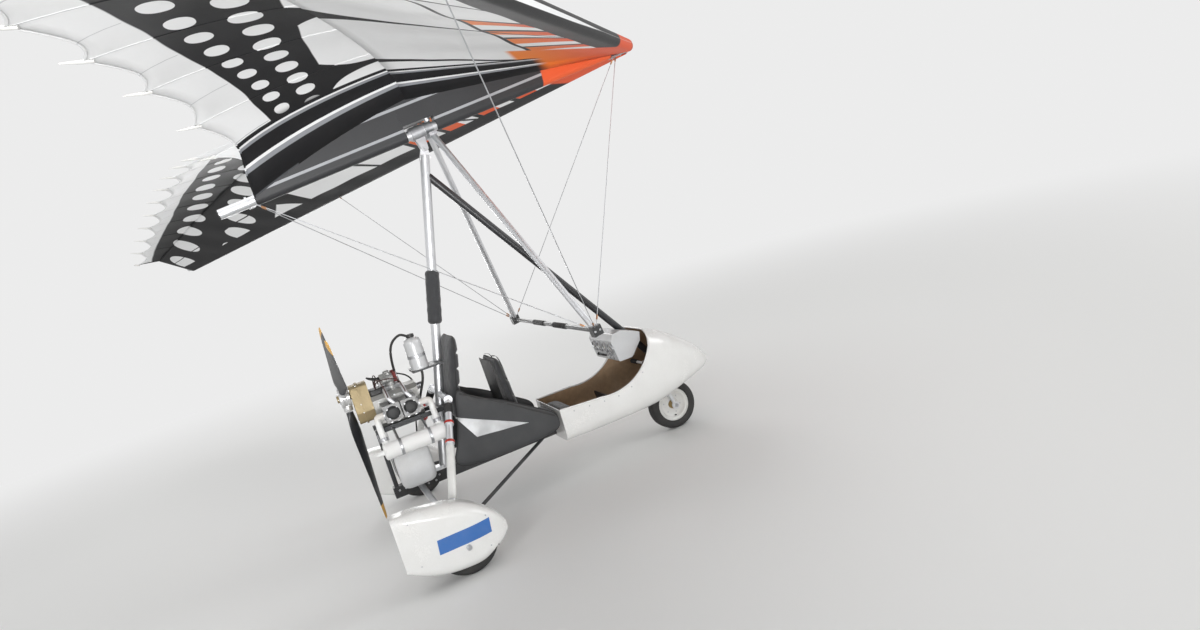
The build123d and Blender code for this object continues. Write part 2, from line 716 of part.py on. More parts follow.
# Blade sections: share of the radius, chord, thickness, pitch angle in degrees
BLADE_SECTIONS = (
    (0.16, 56.0, 34.0, 48.0),
    (0.34, 104.0, 19.0, 33.0),
    (0.62, 98.0, 13.0, 22.0),
    (0.86, 78.0, 9.0, 16.0),
    (1.00, 48.0, 6.0, 14.0),
)
with BuildPart() as prop_hub:
    rod(
        (ahead(HUB_FRONT), 0, PROP_HEIGHT),
        (ahead(HUB_FRONT) - HUB_DISC_LENGTH, 0, PROP_HEIGHT),
        HUB_DISC_RADIUS,
    )
    for blade in range(BLADES):
        turn = radians(30 + 360 / BLADES * blade)
        direction = (0, -cos(turn), sin(turn))
        rod(
            (ahead(BLADE_X), 0, PROP_HEIGHT),
            (ahead(BLADE_X), direction[1] * (BLADE_ROOT + 20), PROP_HEIGHT + direction[2] * (BLADE_ROOT + 20)),
            BLADE_ROOT_RADIUS + 6,
        )
    rod(
        (ahead(HUB_FRONT) + 1, 0, PROP_HEIGHT),
        (ahead(HUB_FRONT) - HUB_DISC_LENGTH - 1, 0, PROP_HEIGHT),
        PROP_SHAFT_RADIUS + RUNNING_GAP,
        mode=Mode.SUBTRACT,
    )
save(prop_hub, "prop_hub")

# Blade outline: shares of the chord and of the thickness, a parabola on each face
BLADE_OUTLINE = (
    (-0.5, 0.0), (-0.25, 0.375), (0.0, 0.5), (0.25, 0.375),
    (0.5, 0.0), (0.25, -0.375), (0.0, -0.5), (-0.25, -0.375),
)
with BuildPart() as prop_blades:
    for blade in range(BLADES):
        turn = radians(30 + 360 / BLADES * blade)
        direction = Vector(0, -cos(turn), sin(turn))
        loops = []
        for share, chord, thick, pitch in BLADE_SECTIONS:
            centre = Vector(ahead(BLADE_X), 0, PROP_HEIGHT) + direction * (share * PROP_RADIUS)
            across = Vector(1, 0, 0).cross(direction)
            chord_way = Vector(1, 0, 0) * sin(radians(pitch)) + across * cos(radians(pitch))
            thick_way = direction.cross(chord_way)
            loops.append(
                [tuple(centre + chord_way * (a * chord) + thick_way * (b * thick)) for a, b in BLADE_OUTLINE]
            )
        add(Solid(Shell(skin(loops) + [cap(loops[0]), cap(loops[-1])])))
        root = Vector(ahead(BLADE_X), 0, PROP_HEIGHT) + direction * (BLADE_ROOT + 20)
        neck = Vector(ahead(BLADE_X), 0, PROP_HEIGHT) + direction * (BLADE_SECTIONS[0][0] * PROP_RADIUS + 12)
        rod(tuple(root), tuple(neck), BLADE_ROOT_RADIUS)
save(prop_blades, "prop_blades")

# Muffler along the starboard side and its two pipes from the heads
with BuildPart() as muffler:
    rod(
        (ahead(MUFFLER_REAR), -MUFFLER_Y, MUFFLER_HEIGHT),
        (ahead(MUFFLER_REAR + MUFFLER_LENGTH), -MUFFLER_Y, MUFFLER_HEIGHT),
        MUFFLER_RADIUS,
    )
    chamfer(muffler.edges().filter_by(GeomType.CIRCLE), length=MUFFLER_CHAMFER)
    rod(
        (ahead(MUFFLER_REAR + MUFFLER_WALL), -MUFFLER_Y, MUFFLER_HEIGHT),
        (ahead(MUFFLER_REAR + MUFFLER_LENGTH - MUFFLER_WALL), -MUFFLER_Y, MUFFLER_HEIGHT),
        MUFFLER_RADIUS - MUFFLER_CHAMFER,
        mode=Mode.SUBTRACT,
    )
    rod(
        (ahead(MUFFLER_REAR + 1), -MUFFLER_Y, MUFFLER_HEIGHT),
        (ahead(MUFFLER_REAR - OUTLET_LENGTH), -MUFFLER_Y, MUFFLER_HEIGHT),
        OUTLET_RADIUS,
    )
    rod(
        (ahead(MUFFLER_REAR + 20), -MUFFLER_Y, MUFFLER_HEIGHT),
        (ahead(MUFFLER_REAR - OUTLET_LENGTH - 1), -MUFFLER_Y, MUFFLER_HEIGHT),
        OUTLET_RADIUS - 2,
        mode=Mode.SUBTRACT,
    )
save(muffler, "muffler")

# Places of the two pipes: ahead of the axle at the muffler, and at the head's side
PIPE_RUNS = (
    (-200.0, CYLINDER_STATIONS[1] - HEAD_SIZE / 2),
    (128.0, CYLINDER_STATIONS[0] + HEAD_SIZE / 2),
)
PIPE_BEND = 38.0
PIPE_INSET = 22.0
with BuildPart() as exhaust_pipes:
    for station, port in PIPE_RUNS:
        pipe_y = PIPE_INSET - CYLINDER_END
        start = (ahead(station), 8 - MUFFLER_Y, MUFFLER_HEIGHT + 20)
        toward_port = PIPE_BEND if port > station else -PIPE_BEND
        with BuildLine() as pipe_path:
            Polyline(
                start,
                (ahead(station), pipe_y, ENGINE_HEIGHT - PIPE_BEND),
                (ahead(station) + toward_port, pipe_y, ENGINE_HEIGHT),
                (ahead(port), pipe_y, ENGINE_HEIGHT),
            )
        with BuildSketch(Plane(origin=pipe_path.line @ 0, z_dir=pipe_path.line % 0)):
            Circle(PIPE_RADIUS)
        sweep(path=pipe_path.line, transition=Transition.RIGHT)
    rod(
        (ahead(MUFFLER_REAR), -MUFFLER_Y, MUFFLER_HEIGHT),
        (ahead(MUFFLER_REAR + MUFFLER_LENGTH), -MUFFLER_Y, MUFFLER_HEIGHT),
        MUFFLER_RADIUS,
        mode=Mode.SUBTRACT,
    )
save(exhaust_pipes, "exhaust_pipes")

# Two muffler straps hung from the starboard bearer
with BuildPart() as muffler_hangers:
    for station in (-120.0, 60.0):
        rod(
            (ahead(station), -BEARER_Y, BEARER_TOP - BEARER_SIZE / 2),
            (ahead(station), -MUFFLER_Y, MUFFLER_HEIGHT + 10),
            8,
        )
    block(
        (ahead(CASE_REAR) - 200, -BEARER_Y - BEARER_SIZE / 2, 0),
        (ahead(CASE_FRONT) + 200, BEARER_Y, 1500),
        mode=Mode.SUBTRACT,
    )
    rod(
        (ahead(MUFFLER_REAR), -MUFFLER_Y, MUFFLER_HEIGHT),
        (ahead(MUFFLER_REAR + MUFFLER_LENGTH), -MUFFLER_Y, MUFFLER_HEIGHT),
        MUFFLER_RADIUS,
        mode=Mode.SUBTRACT,
    )
save(muffler_hangers, "muffler_hangers")

# Two carburettors on the crankcase
with BuildPart() as carburettors:
    for side in (-1, 1):
        carb_foot = (ahead(-45), side * 48, ENGINE_HEIGHT + CASE_HALF_HEIGHT)
        rod(carb_foot, (carb_foot[0], carb_foot[1], carb_foot[2] + 60), 26)
        rod(
            (carb_foot[0] - 50, carb_foot[1], carb_foot[2] + 74),
            (carb_foot[0] + 50, carb_foot[1], carb_foot[2] + 74),
            34,
        )
save(carburettors, "carburettors")

# Oil tank behind the mast
with BuildPart() as oil_tank:
    tank_foot = (ahead(150), -105.0, 1045.0)
    rod(tank_foot, (tank_foot[0], tank_foot[1], tank_foot[2] + OIL_TANK_HEIGHT), OIL_TANK_RADIUS)
save(oil_tank, "oil_tank")

# Plate clamped to the mast that the oil tank stands on
with BuildPart() as oil_tank_bracket:
    block(
        (tank_foot[0] - OIL_TANK_RADIUS, tank_foot[1] - 40, tank_foot[2] - 12),
        (on_mast(tank_foot[2])[0] + 12, MAST_RADIUS + 12, tank_foot[2]),
    )
    rod(on_mast(KEEL_TOP), on_mast(HANG_HEIGHT), MAST_RADIUS, mode=Mode.SUBTRACT)
save(oil_tank_bracket, "oil_tank_bracket")

# Fuel tank on the keel under the engine
with BuildPart() as fuel_tank:
    tank_front = MAST_BASE - 66.0
    block(
        (ahead(tank_front - FUEL_TANK[0]), -FUEL_TANK[1] / 2, KEEL_TOP),
        (ahead(tank_front), FUEL_TANK[1] / 2, KEEL_TOP + FUEL_TANK[2]),
    )
    fillet(fuel_tank.edges().filter_by(Axis.Y), radius=50)
save(fuel_tank, "fuel_tank")

# Pod: moulded nose fairing, open behind; sections from rear to nose
# Columns: distance ahead of the nose axle, half width, bottom, top, corner radius
POD_SECTIONS = (
    (-890.0, 262.0, 284.0, 640.0, 70.0),
    (-730.0, 288.0, 280.0, 740.0, 96.0),
    (-570.0, 304.0, 277.0, 806.0, 120.0),
    (-370.0, 310.0, 276.0, 836.0, 136.0),
    (-210.0, 303.0, 280.0, 828.0, 140.0),
    (-50.0, 272.0, 297.0, 772.0, 138.0),
    (80.0, 226.0, 320.0, 694.0, 124.0),
    (190.0, 172.0, 339.0, 612.0, 98.0),
    (290.0, 108.0, 358.0, 528.0, 66.0),
    (360.0, 34.0, 384.0, 440.0, 22.0),
)

with BuildPart() as pod_core:
    rounded_form(POD_SECTIONS, nose_way, 0, POD_WALL, -POD_WALL)
with BuildPart() as pod:
    rounded_form(POD_SECTIONS, nose_way, 0)
    add(pod_core.part, mode=Mode.SUBTRACT)
    with BuildSketch(Plane(origin=(0, 0, 0), x_dir=(1, 0, 0), z_dir=(0, -1, 0))):
        with BuildLine():
            Line((nose_way(-950), 506), (nose_way(-600), 493))
            ThreePointArc((nose_way(-600), 493), (nose_way(-280), 575), (nose_way(-142), 800))
            Polyline(
                (nose_way(-142), 800), (nose_way(-142), 1000), (nose_way(-950), 1000), (nose_way(-950), 506)
            )
        make_face()
    extrude(amount=500, both=True, mode=Mode.SUBTRACT)
    rod(on_head(100), on_head(CROWN_HIGH + 30), TYRE_RADIUS + 26, mode=Mode.SUBTRACT)
    rod(strut_top, strut_foot, STRUT_RADIUS + 10, mode=Mode.SUBTRACT)
    block(
        (nose_way(-970), -KEEL_WIDTH / 2, KEEL_BOTTOM),
        (ahead(KEEL_BEND), KEEL_WIDTH / 2, KEEL_BOTTOM + 30),
        mode=Mode.SUBTRACT,
    )
save(pod, "pod")

# Two formers that carry the pod on the keel
with BuildPart() as pod_formers:
    for station in (-865.0, -440.0):
        block((nose_way(station), -400, 250), (nose_way(station + 8), 400, KEEL_TOP + RAIL_SIZE - 2))
    add(pod_core.part, mode=Mode.INTERSECT)
    block(
        (nose_way(-970), -KEEL_WIDTH / 2, KEEL_BOTTOM),
        (ahead(KEEL_BEND), KEEL_WIDTH / 2, KEEL_TOP),
        mode=Mode.SUBTRACT,
    )
save(pod_formers, "pod_formers")

# Instrument panel held on the front strut
with BuildPart() as instrument_panel:
    side_plate(
        [
            (nose_way(-370), 650),
            (nose_way(-392), 800),
            (nose_way(-370), 845),
            (nose_way(-300), 850),
            (nose_way(-170), 800),
            (nose_way(-185), 740),
            (nose_way(-270), 650),
        ],
        0,
        400,
    )
    fillet(instrument_panel.edges().filter_by(Axis.Y), radius=12)
    rod(strut_top, strut_foot, STRUT_RADIUS, mode=Mode.SUBTRACT)
save(instrument_panel, "instrument_panel")

# Seat rails: cross bars on the keel that carry the seats and side panniers
with BuildPart() as seat_rails:
    for station in (330.0, 700.0, 930.0):
        block(
            (ahead(station) - RAIL_SIZE / 2, -PANNIER_INNER + 0.3, KEEL_TOP),
            (ahead(station) + RAIL_SIZE / 2, PANNIER_INNER - 0.3, KEEL_TOP + RAIL_SIZE),
        )
save(seat_rails, "seat_rails")

RAIL_TOP = KEEL_TOP + RAIL_SIZE
with BuildPart() as seat_pedestal:
    block(
        (ahead(350), -120, KEEL_TOP),
        (ahead(540), 120, 600),
    )
save(seat_pedestal, "seat_pedestal")

with BuildPart() as seat_front:
    side_plate(
        [
            (ahead(1010), RAIL_TOP),
            (ahead(1010), RAIL_TOP + 80),
            (ahead(690), RAIL_TOP + 60),
            (ahead(640), 960),
            (ahead(580), 960),
            (ahead(620), RAIL_TOP),
        ],
        0,
        2 * SEAT_HALF_WIDTH,
    )
save(seat_front, "seat_front")

SEAT_BACK_GAP = 4.0
back_offset = MAST_RADIUS / cos(atan2(mast_lean.X, mast_lean.Z)) + SEAT_BACK_GAP
with BuildPart() as seat_rear:
    side_plate(
        [
            (ahead(560), 600),
            (ahead(560), 680),
            (on_mast(690)[0] + back_offset + 90, 690),
            (on_mast(1220)[0] + back_offset + 46, 1220),
            (on_mast(1220)[0] + back_offset, 1220),
            (on_mast(600)[0] + back_offset, 600),
        ],
        0,
        2 * SEAT_HALF_WIDTH,
    )
save(seat_rear, "seat_rear")

# Side panniers along both sides of the seats
with BuildPart() as panniers:
    for side in (-1, 1):
        side_plate(
            [
                (ahead(284), 888),
                (ahead(366), 790),
                (ahead(524), 719),
                (ahead(721), 590),
                (ahead(856), 500),
                (ahead(850), 385),
                (ahead(424), 372),
                (ahead(130), 411),
                (ahead(224), 600),
            ],
            side * (PANNIER_INNER + PANNIER_THICKNESS / 2),
            PANNIER_THICKNESS,
        )
save(panniers, "panniers")

# Wing frame of reference: the hang bolt, turned nose up by the parked pitch
WING = Plane(
    origin=hang,
    x_dir=(cos(radians(WING_PITCH)), 0, sin(radians(WING_PITCH))),
    z_dir=(-sin(radians(WING_PITCH)), 0, cos(radians(WING_PITCH))),
)


def wing_point(x, y, z):
    """Point given along, across and above the wing's keel from the hang bolt."""
    return tuple(WING.from_local_coords(Vector(x, y, z)))


def wing_side_plane(y):
    """Plane across the wing at this distance to port, seen from starboard."""
    return Plane(origin=wing_point(0, y, 0), x_dir=WING.x_dir, z_dir=(0, -1, 0))


# Hang bracket: bearing ring round the wing's keel, two cheeks and the hang bolt
with BuildPart() as hang_bracket:
    rod(
        wing_point(-RING_LENGTH / 2, 0, WING_KEEL_HEIGHT),
        wing_point(RING_LENGTH / 2, 0, WING_KEEL_HEIGHT),
        RING_RADIUS,
    )
    for side in (-1, 1):
        cheek_y = side * (HANG_LUG_HALF + HANG_GAP + HANG_CHEEK / 2)
        with BuildSketch(wing_side_plane(cheek_y), mode=Mode.PRIVATE) as cheek:
            with BuildLine():
                Polyline(
                    (-36, WING_KEEL_HEIGHT), (-22, -14), (-12, -24), (12, -24), (22, -14), (36, WING_KEEL_HEIGHT),
                    close=True,
                )
            make_face()
        extrude(cheek.sketch, amount=HANG_CHEEK / 2, both=True)
    rod(
        wing_point(-RING_LENGTH, 0, WING_KEEL_HEIGHT),
        wing_point(RING_LENGTH, 0, WING_KEEL_HEIGHT),
        WING_KEEL_RADIUS + RUNNING_GAP,
        mode=Mode.SUBTRACT,
    )
    bolt_end = HANG_LUG_HALF + HANG_GAP + HANG_CHEEK + 12
    rod((hang[0], -bolt_end, hang[2]), (hang[0], bolt_end, hang[2]), HANG_BOLT_RADIUS)
save(hang_bracket, "hang_bracket")

# Keel tube of the wing, with the two collars that keep the bracket in place and the one
# at the tail that the tail stays pull against
TAIL_COLLAR = WING_TAIL + 160.0
with BuildPart() as wing_keel:
    rod(
        wing_point(WING_TAIL, 0, WING_KEEL_HEIGHT),
        wing_point(WING_NOSE - 60, 0, WING_KEEL_HEIGHT),
        WING_KEEL_RADIUS,
        bore=WING_KEEL_RADIUS - WING_KEEL_WALL,
    )
    for side in (-1, 1):
        collar_x = side * (RING_LENGTH / 2 + SIDE_GAP)
        rod(
            wing_point(collar_x, 0, WING_KEEL_HEIGHT),
            wing_point(collar_x + side * 8, 0, WING_KEEL_HEIGHT),
            WING_KEEL_RADIUS + 8,
            bore=WING_KEEL_RADIUS - 1,
        )
    rod(
        wing_point(TAIL_COLLAR, 0, WING_KEEL_HEIGHT),
        wing_point(TAIL_COLLAR + 12, 0, WING_KEEL_HEIGHT),
        WING_KEEL_RADIUS + 8,
        bore=WING_KEEL_RADIUS - 1,
    )
save(wing_keel, "wing_keel")

# Leading edge tubes
nose_inner = (WING_NOSE - 30.0, 46.0, WING_KEEL_HEIGHT)
tip_end = (WING_NOSE - TIP_SWEEP, HALF_SPAN, WING_KEEL_HEIGHT + TIP_RISE)


def leading_edge(y):
    """Centre of the leading edge tube, along and above the keel, at this distance out."""
    share = (y - nose_inner[1]) / (tip_end[1] - nose_inner[1])
    return (
        nose_inner[0] + (tip_end[0] - nose_inner[0]) * share,
        nose_inner[2] + (tip_end[2] - nose_inner[2]) * share,
    )


with BuildPart() as leading_edges:
    for side in (-1, 1):
        rod(
            wing_point(nose_inner[0], side * nose_inner[1], nose_inner[2]),
            wing_point(tip_end[0], side * tip_end[1], tip_end[2]),
            LEADING_RADIUS,
            bore=LEADING_RADIUS - LEADING_WALL,
        )
save(leading_edges, "leading_edges")

# Sail: two cambered halves, double surfaced over the front part of the chord. Battens
# hold the trailing edge out at points, and it is scalloped between them.
TOP_SHARES = (0.0, 0.06, 0.18, 0.34, 0.48, 0.60, 0.80)
INNER_SHARES = (0.10, 0.18, 0.34, 0.48, 0.57)
SAIL_TIP_Y = HALF_SPAN - 60.0
COVER_GAP = 0.3
SWEEP = atan2(nose_inner[0] - tip_end[0], tip_end[1] - nose_inner[1])
BORE = LEADING_RADIUS / cos(SWEEP) + COVER_GAP
COVER = BORE + SAIL_COVER


def sail_y(share):
    """Distance out from the middle at this share of the half span."""
    return ROOT_Y + (SAIL_TIP_Y - ROOT_Y) * share


def sail_chord(share):
    """Length of the chord between the battens' ends at this share of the half span."""
    return ROOT_CHORD + (TIP_CHORD - ROOT_CHORD) * share


def sail_outline(share, bay_share=0.0):
    """Outer and inner outline of one chordwise section, along and above the wing's keel."""
    chord = sail_chord(share)
    scallop = SCALLOP_DEPTH * (1 - (2 * bay_share - 1) ** 2)
    twist = radians(ROOT_RISE + (TIP_WASHOUT - ROOT_RISE) * share**TWIST_POWER)
    x_lead, z_lead = leading_edge(sail_y(share))

    def place(back, up):
        return (
            x_lead - back * cos(twist) + up * sin(twist),
            z_lead + back * sin(twist) + up * cos(twist),
        )

    def top(part):
        """Height of the upper skin, a parabola each side of the crest, above the chord."""
        crest = CAMBER * chord + COVER / 2
        if part < CAMBER_PLACE:
            return crest + (COVER - crest) * ((CAMBER_PLACE - part) / CAMBER_PLACE) ** 2
        return crest + (SAIL_SKIN / 2 - crest) * ((part - CAMBER_PLACE) / (1 - CAMBER_PLACE)) ** 2

    joint = top(DOUBLE_SURFACE) - SAIL_SKIN
    rear = INNER_SHARES[-1]
    rear_floor = (joint + COVER) * rear / DOUBLE_SURFACE - COVER + SAIL_SKIN / 2
    outer = [place(part * chord, top(part)) for part in TOP_SHARES]
    outer += [
        place(chord - scallop, SAIL_SKIN / 2),
        place(chord - scallop, -SAIL_SKIN / 2),
        place(TOP_SHARES[-1] * chord, top(TOP_SHARES[-1]) - SAIL_SKIN),
        place(DOUBLE_SURFACE * chord, joint),
        place(0.0, -COVER),
        place(-0.75 * COVER, -0.66 * COVER),
        place(-COVER, 0.0),
        place(-0.75 * COVER, 0.66 * COVER),
    ]
    inner = [place(0.0, BORE)]
    inner += [place(part * chord, top(part) - SAIL_SKIN) for part in INNER_SHARES]
    inner += [
        place(rear * chord, rear_floor),
        place(0.0, -BORE),
        place(-0.42 * BORE, -BORE),
        place(-BORE, -0.42 * BORE),
        place(-BORE, 0.42 * BORE),
        place(-0.42 * BORE, BORE),
    ]
    return outer, inner


def sail_half(side):
    """Closed shell of one half, open at the root into the space between its surfaces."""
    outer, inner = [], []
    for step in range(SAIL_STEPS + 1):
        share = step / SAIL_STEPS
        outlines = sail_outline(share, step % SCALLOP_STEPS / SCALLOP_STEPS)
        for loops, outline in zip((outer, inner), outlines):
            loops.append([wing_point(x, side * sail_y(share), z) for x, z in outline])
    inner.pop()
    faces = skin(outer) + skin(inner)
    faces += [cap(outer[-1]), cap(inner[-1]), cap(outer[0], inner[0])]
    return Solid(Shell(faces))


SAIL_STEPS = BATTEN_BAYS * SCALLOP_STEPS
with BuildPart() as sail:
    for side in (-1, 1):
        add(sail_half(side))
        rod(
            wing_point(nose_inner[0], side * nose_inner[1], nose_inner[2]),
            wing_point(tip_end[0], side * tip_end[1], tip_end[2]),
            LEADING_RADIUS,
            mode=Mode.SUBTRACT,
        )
save(sail, "sail")


def wing_block(low, high, mode=Mode.ADD):
    """Add a block given by two opposite corners in the wing's own frame."""
    base_plane = Plane(origin=wing_point(0, 0, low[2]), x_dir=WING.x_dir, z_dir=WING.z_dir)
    with BuildSketch(base_plane, mode=Mode.PRIVATE) as base:
        with Locations(((low[0] + high[0]) / 2, (low[1] + high[1]) / 2)):
            Rectangle(high[0] - low[0], high[1] - low[1])
    extrude(base.sketch, amount=high[2] - low[2], mode=mode)


# Keel pocket: the strip of sail along the middle, which wraps the keel tube
POCKET_UNDER = 6.0
pocket_low = WING_KEEL_HEIGHT - WING_KEEL_RADIUS - POCKET_UNDER
notch_high = WING_KEEL_HEIGHT + RING_RADIUS + 16
NOTCH_REAR = -72.0
NOTCH_FRONT = 132.0
POCKET_FRONT = WING_NOSE - 165.0
root_top = sail_outline(0)[0][: len(TOP_SHARES) + 1]
with BuildPart() as keel_pocket:
    with BuildSketch(wing_side_plane(0)):
        with BuildLine():
            Polyline(
                *root_top,
                (root_top[-1][0] + 0.03 * ROOT_CHORD, pocket_low),
                (NOTCH_REAR, pocket_low),
                (NOTCH_REAR, notch_high),
                (NOTCH_FRONT, notch_high),
                (NOTCH_FRONT, pocket_low),
                (POCKET_FRONT, pocket_low),
                close=True,
            )
        make_face()
    extrude(amount=ROOT_Y, both=True)
    wing_block((POCKET_FRONT, -200, -100), (POCKET_FRONT + 400, 200, 400), mode=Mode.SUBTRACT)
    rod(
        wing_point(WING_TAIL - 50, 0, WING_KEEL_HEIGHT),
        wing_point(WING_NOSE + 50, 0, WING_KEEL_HEIGHT),
        WING_KEEL_RADIUS,
        mode=Mode.SUBTRACT,
    )

# Kingpost on the keel, through the pocket
kingpost_top = (-30.0, 0.0, WING_KEEL_HEIGHT + KINGPOST_HEIGHT)
KINGPOST_STEP = 96.0
post_foot = (KINGPOST_STEP, 0.0, WING_KEEL_HEIGHT + WING_KEEL_RADIUS + 10)
post_tip = between(post_foot, kingpost_top, 1.015)
with BuildPart() as kingpost:
    rod(wing_point(*post_foot), wing_point(*kingpost_top), KINGPOST_RADIUS, bore=KINGPOST_RADIUS - 2.5)
    rod(wing_point(*between(kingpost_top, post_foot, 0.03)), wing_point(*post_tip), KINGPOST_RADIUS + 4)
save(kingpost, "kingpost")
with BuildPart(mode=Mode.PRIVATE) as post_hole:
    rod(wing_point(*between(post_foot, kingpost_top, -0.2)), wing_point(*kingpost_top), KINGPOST_RADIUS)
keel_pocket.part = keel_pocket.part - post_hole.part
save(keel_pocket, "keel_pocket")

# Nose plates that join the keel tube to the leading edge tubes
with BuildPart() as nose_plates:
    for low in (pocket_low, WING_KEEL_HEIGHT + WING_KEEL_RADIUS):
        wing_block((POCKET_FRONT + 2, -ROOT_Y + 0.3, low), (WING_NOSE - 6, ROOT_Y - 0.3, low + POCKET_UNDER))
    rod(
        wing_point(WING_NOSE - 30, 0, pocket_low),
        wing_point(WING_NOSE - 30, 0, WING_KEEL_HEIGHT + WING_KEEL_RADIUS + POCKET_UNDER),
        8,
    )
save(nose_plates, "nose_plates")

# Knuckle under the keel that the two uprights bolt to
KNUCKLE_HALF = 26.0
KNUCKLE_LOW = WING_KEEL_HEIGHT - 58.0
with BuildPart() as upright_knuckle:
    rod(
        wing_point(UPRIGHT_TOP_X - KNUCKLE_HALF, 0, WING_KEEL_HEIGHT),
        wing_point(UPRIGHT_TOP_X + KNUCKLE_HALF, 0, WING_KEEL_HEIGHT),
        WING_KEEL_RADIUS + 10,
    )
    wing_block(
        (UPRIGHT_TOP_X - KNUCKLE_HALF, -UPRIGHT_TOP_Y - 26, KNUCKLE_LOW),
        (UPRIGHT_TOP_X + KNUCKLE_HALF, UPRIGHT_TOP_Y + 26, KNUCKLE_LOW + 24),
    )
    rod(
        wing_point(UPRIGHT_TOP_X - 100, 0, WING_KEEL_HEIGHT),
        wing_point(UPRIGHT_TOP_X + 100, 0, WING_KEEL_HEIGHT),
        WING_KEEL_RADIUS,
        mode=Mode.SUBTRACT,
    )
    rod(wing_point(*post_foot), wing_point(*kingpost_top), KINGPOST_RADIUS, mode=Mode.SUBTRACT)
save(upright_knuckle, "upright_knuckle")

# Control frame: two uprights, base bar and the corner fittings
CORNER_HALF = 30.0
corner = {side: (CORNER_X, side * CORNER_Y, CORNER_Z) for side in (-1, 1)}
upright_top = {side: (UPRIGHT_TOP_X, side * UPRIGHT_TOP_Y, KNUCKLE_LOW) for side in (-1, 1)}


def corner_block(side, mode=Mode.ADD):
    """The corner fitting's block at one end of the base bar."""
    wing_block(
        (CORNER_X - CORNER_HALF, side * CORNER_Y - CORNER_HALF, CORNER_Z - CORNER_HALF),
        (CORNER_X + CORNER_HALF, side * CORNER_Y + CORNER_HALF, CORNER_Z + CORNER_HALF),
        mode=mode,
    )


with BuildPart() as corner_fittings:
    for side in (-1, 1):
        corner_block(side)
save(corner_fittings, "corner_fittings")

with BuildPart() as uprights:
    for side in (-1, 1):
        rod(
            wing_point(*between(upright_top[side], corner[side], -0.02)),
            wing_point(*corner[side]),
            UPRIGHT_RADIUS,
            bore=UPRIGHT_RADIUS - UPRIGHT_WALL,
        )
        corner_block(side, mode=Mode.SUBTRACT)
    wing_block((-200, -400, KNUCKLE_LOW), (400, 400, KNUCKLE_LOW + 200), mode=Mode.SUBTRACT)
save(uprights, "uprights")

with BuildPart() as base_bar:
    rod(
        wing_point(CORNER_X, -CORNER_Y + CORNER_HALF, CORNER_Z),
        wing_point(CORNER_X, CORNER_Y - CORNER_HALF, CORNER_Z),
        BASE_BAR_RADIUS,
    )
save(base_bar, "base_bar")

# Main stays, each a straight wire between two points in the wing's frame
brace_y = BRACE_STATION * HALF_SPAN
brace_x, brace_z = leading_edge(brace_y)
nose_hold = (WING_NOSE - 100, 0.0, WING_KEEL_HEIGHT)
tail_hold = (TAIL_COLLAR + 22, 0.0, WING_KEEL_HEIGHT)
STAYS = [(kingpost_top, nose_hold), (kingpost_top, tail_hold)]
for side in (-1, 1):
    side_hold = (brace_x, side * brace_y, brace_z)
    STAYS += [
        (corner[side], nose_hold),
        (corner[side], tail_hold),
        (corner[side], side_hold),
        (kingpost_top, side_hold),
    ]
with BuildPart(mode=Mode.PRIVATE) as stay_holders:
    rod(
        wing_point(WING_TAIL, 0, WING_KEEL_HEIGHT),
        wing_point(WING_NOSE - 60, 0, WING_KEEL_HEIGHT),
        WING_KEEL_RADIUS,
    )
    rod(wing_point(*post_foot), wing_point(*post_tip), KINGPOST_RADIUS + 4)
    for side in (-1, 1):
        corner_block(side)
        rod(
            wing_point(nose_inner[0], side * nose_inner[1], nose_inner[2]),
            wing_point(tip_end[0], side * tip_end[1], tip_end[2]),
            LEADING_RADIUS,
        )

# A stay is cut where it enters what holds it, and only its free length is kept
with BuildPart() as stays:
    for start, end in STAYS:
        wire_line = Vector(*wing_point(*end)) - Vector(*wing_point(*start))
        with BuildPart(mode=Mode.PRIVATE) as wire:
            with BuildSketch(Plane(origin=wing_point(*start), z_dir=wire_line)):
                RegularPolygon(WIRE_RADIUS, 6)
            extrude(amount=wire_line.length)
        for holder in (stay_holders, keel_pocket, nose_plates, sail):
            wire.part = wire.part - holder.part
        add(wire.solids().sort_by(SortBy.VOLUME)[-1])
save(stays, "stays")
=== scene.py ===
from math import radians

import bmesh
import bpy
import numpy as np
from mathutils import Matrix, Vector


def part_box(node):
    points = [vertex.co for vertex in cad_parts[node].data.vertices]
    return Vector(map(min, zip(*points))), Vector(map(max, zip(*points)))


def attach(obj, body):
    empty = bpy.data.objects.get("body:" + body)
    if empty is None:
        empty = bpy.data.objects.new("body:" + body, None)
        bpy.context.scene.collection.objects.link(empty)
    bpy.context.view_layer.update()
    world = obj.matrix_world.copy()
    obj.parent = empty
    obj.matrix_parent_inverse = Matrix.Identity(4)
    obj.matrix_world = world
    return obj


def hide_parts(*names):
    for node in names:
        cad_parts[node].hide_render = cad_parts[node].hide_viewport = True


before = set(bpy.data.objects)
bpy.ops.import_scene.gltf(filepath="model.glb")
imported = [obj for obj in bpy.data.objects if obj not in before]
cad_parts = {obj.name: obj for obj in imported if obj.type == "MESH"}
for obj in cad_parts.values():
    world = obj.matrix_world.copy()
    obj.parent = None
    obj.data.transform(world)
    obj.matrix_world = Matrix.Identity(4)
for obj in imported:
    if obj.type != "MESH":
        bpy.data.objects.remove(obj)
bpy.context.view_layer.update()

# Camera: the photograph was taken from under the starboard wing tip, looking inwards and
# ahead, tilted well to one side. Lens and place come from fitting the wheels, mast and
# wing to it, and are counted from the rear axle.
axle_low, axle_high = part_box("rim_left")
AXLE_X = (axle_low.x + axle_high.x) / 2
NOSE_AXLE = 1.770
VIEW_PLACE = (-382.56, -4837.24, 1727.72)
VIEW_YAW, VIEW_PITCH, VIEW_ROLL = 0.35921, -0.14654, -0.28725
SENSOR, LENS, SIGHT = 36.0, 22.5, 200.0
MM = 0.001
ACROSS, UPWARD, ONWARD = np.eye(3)[[1, 2, 0]]


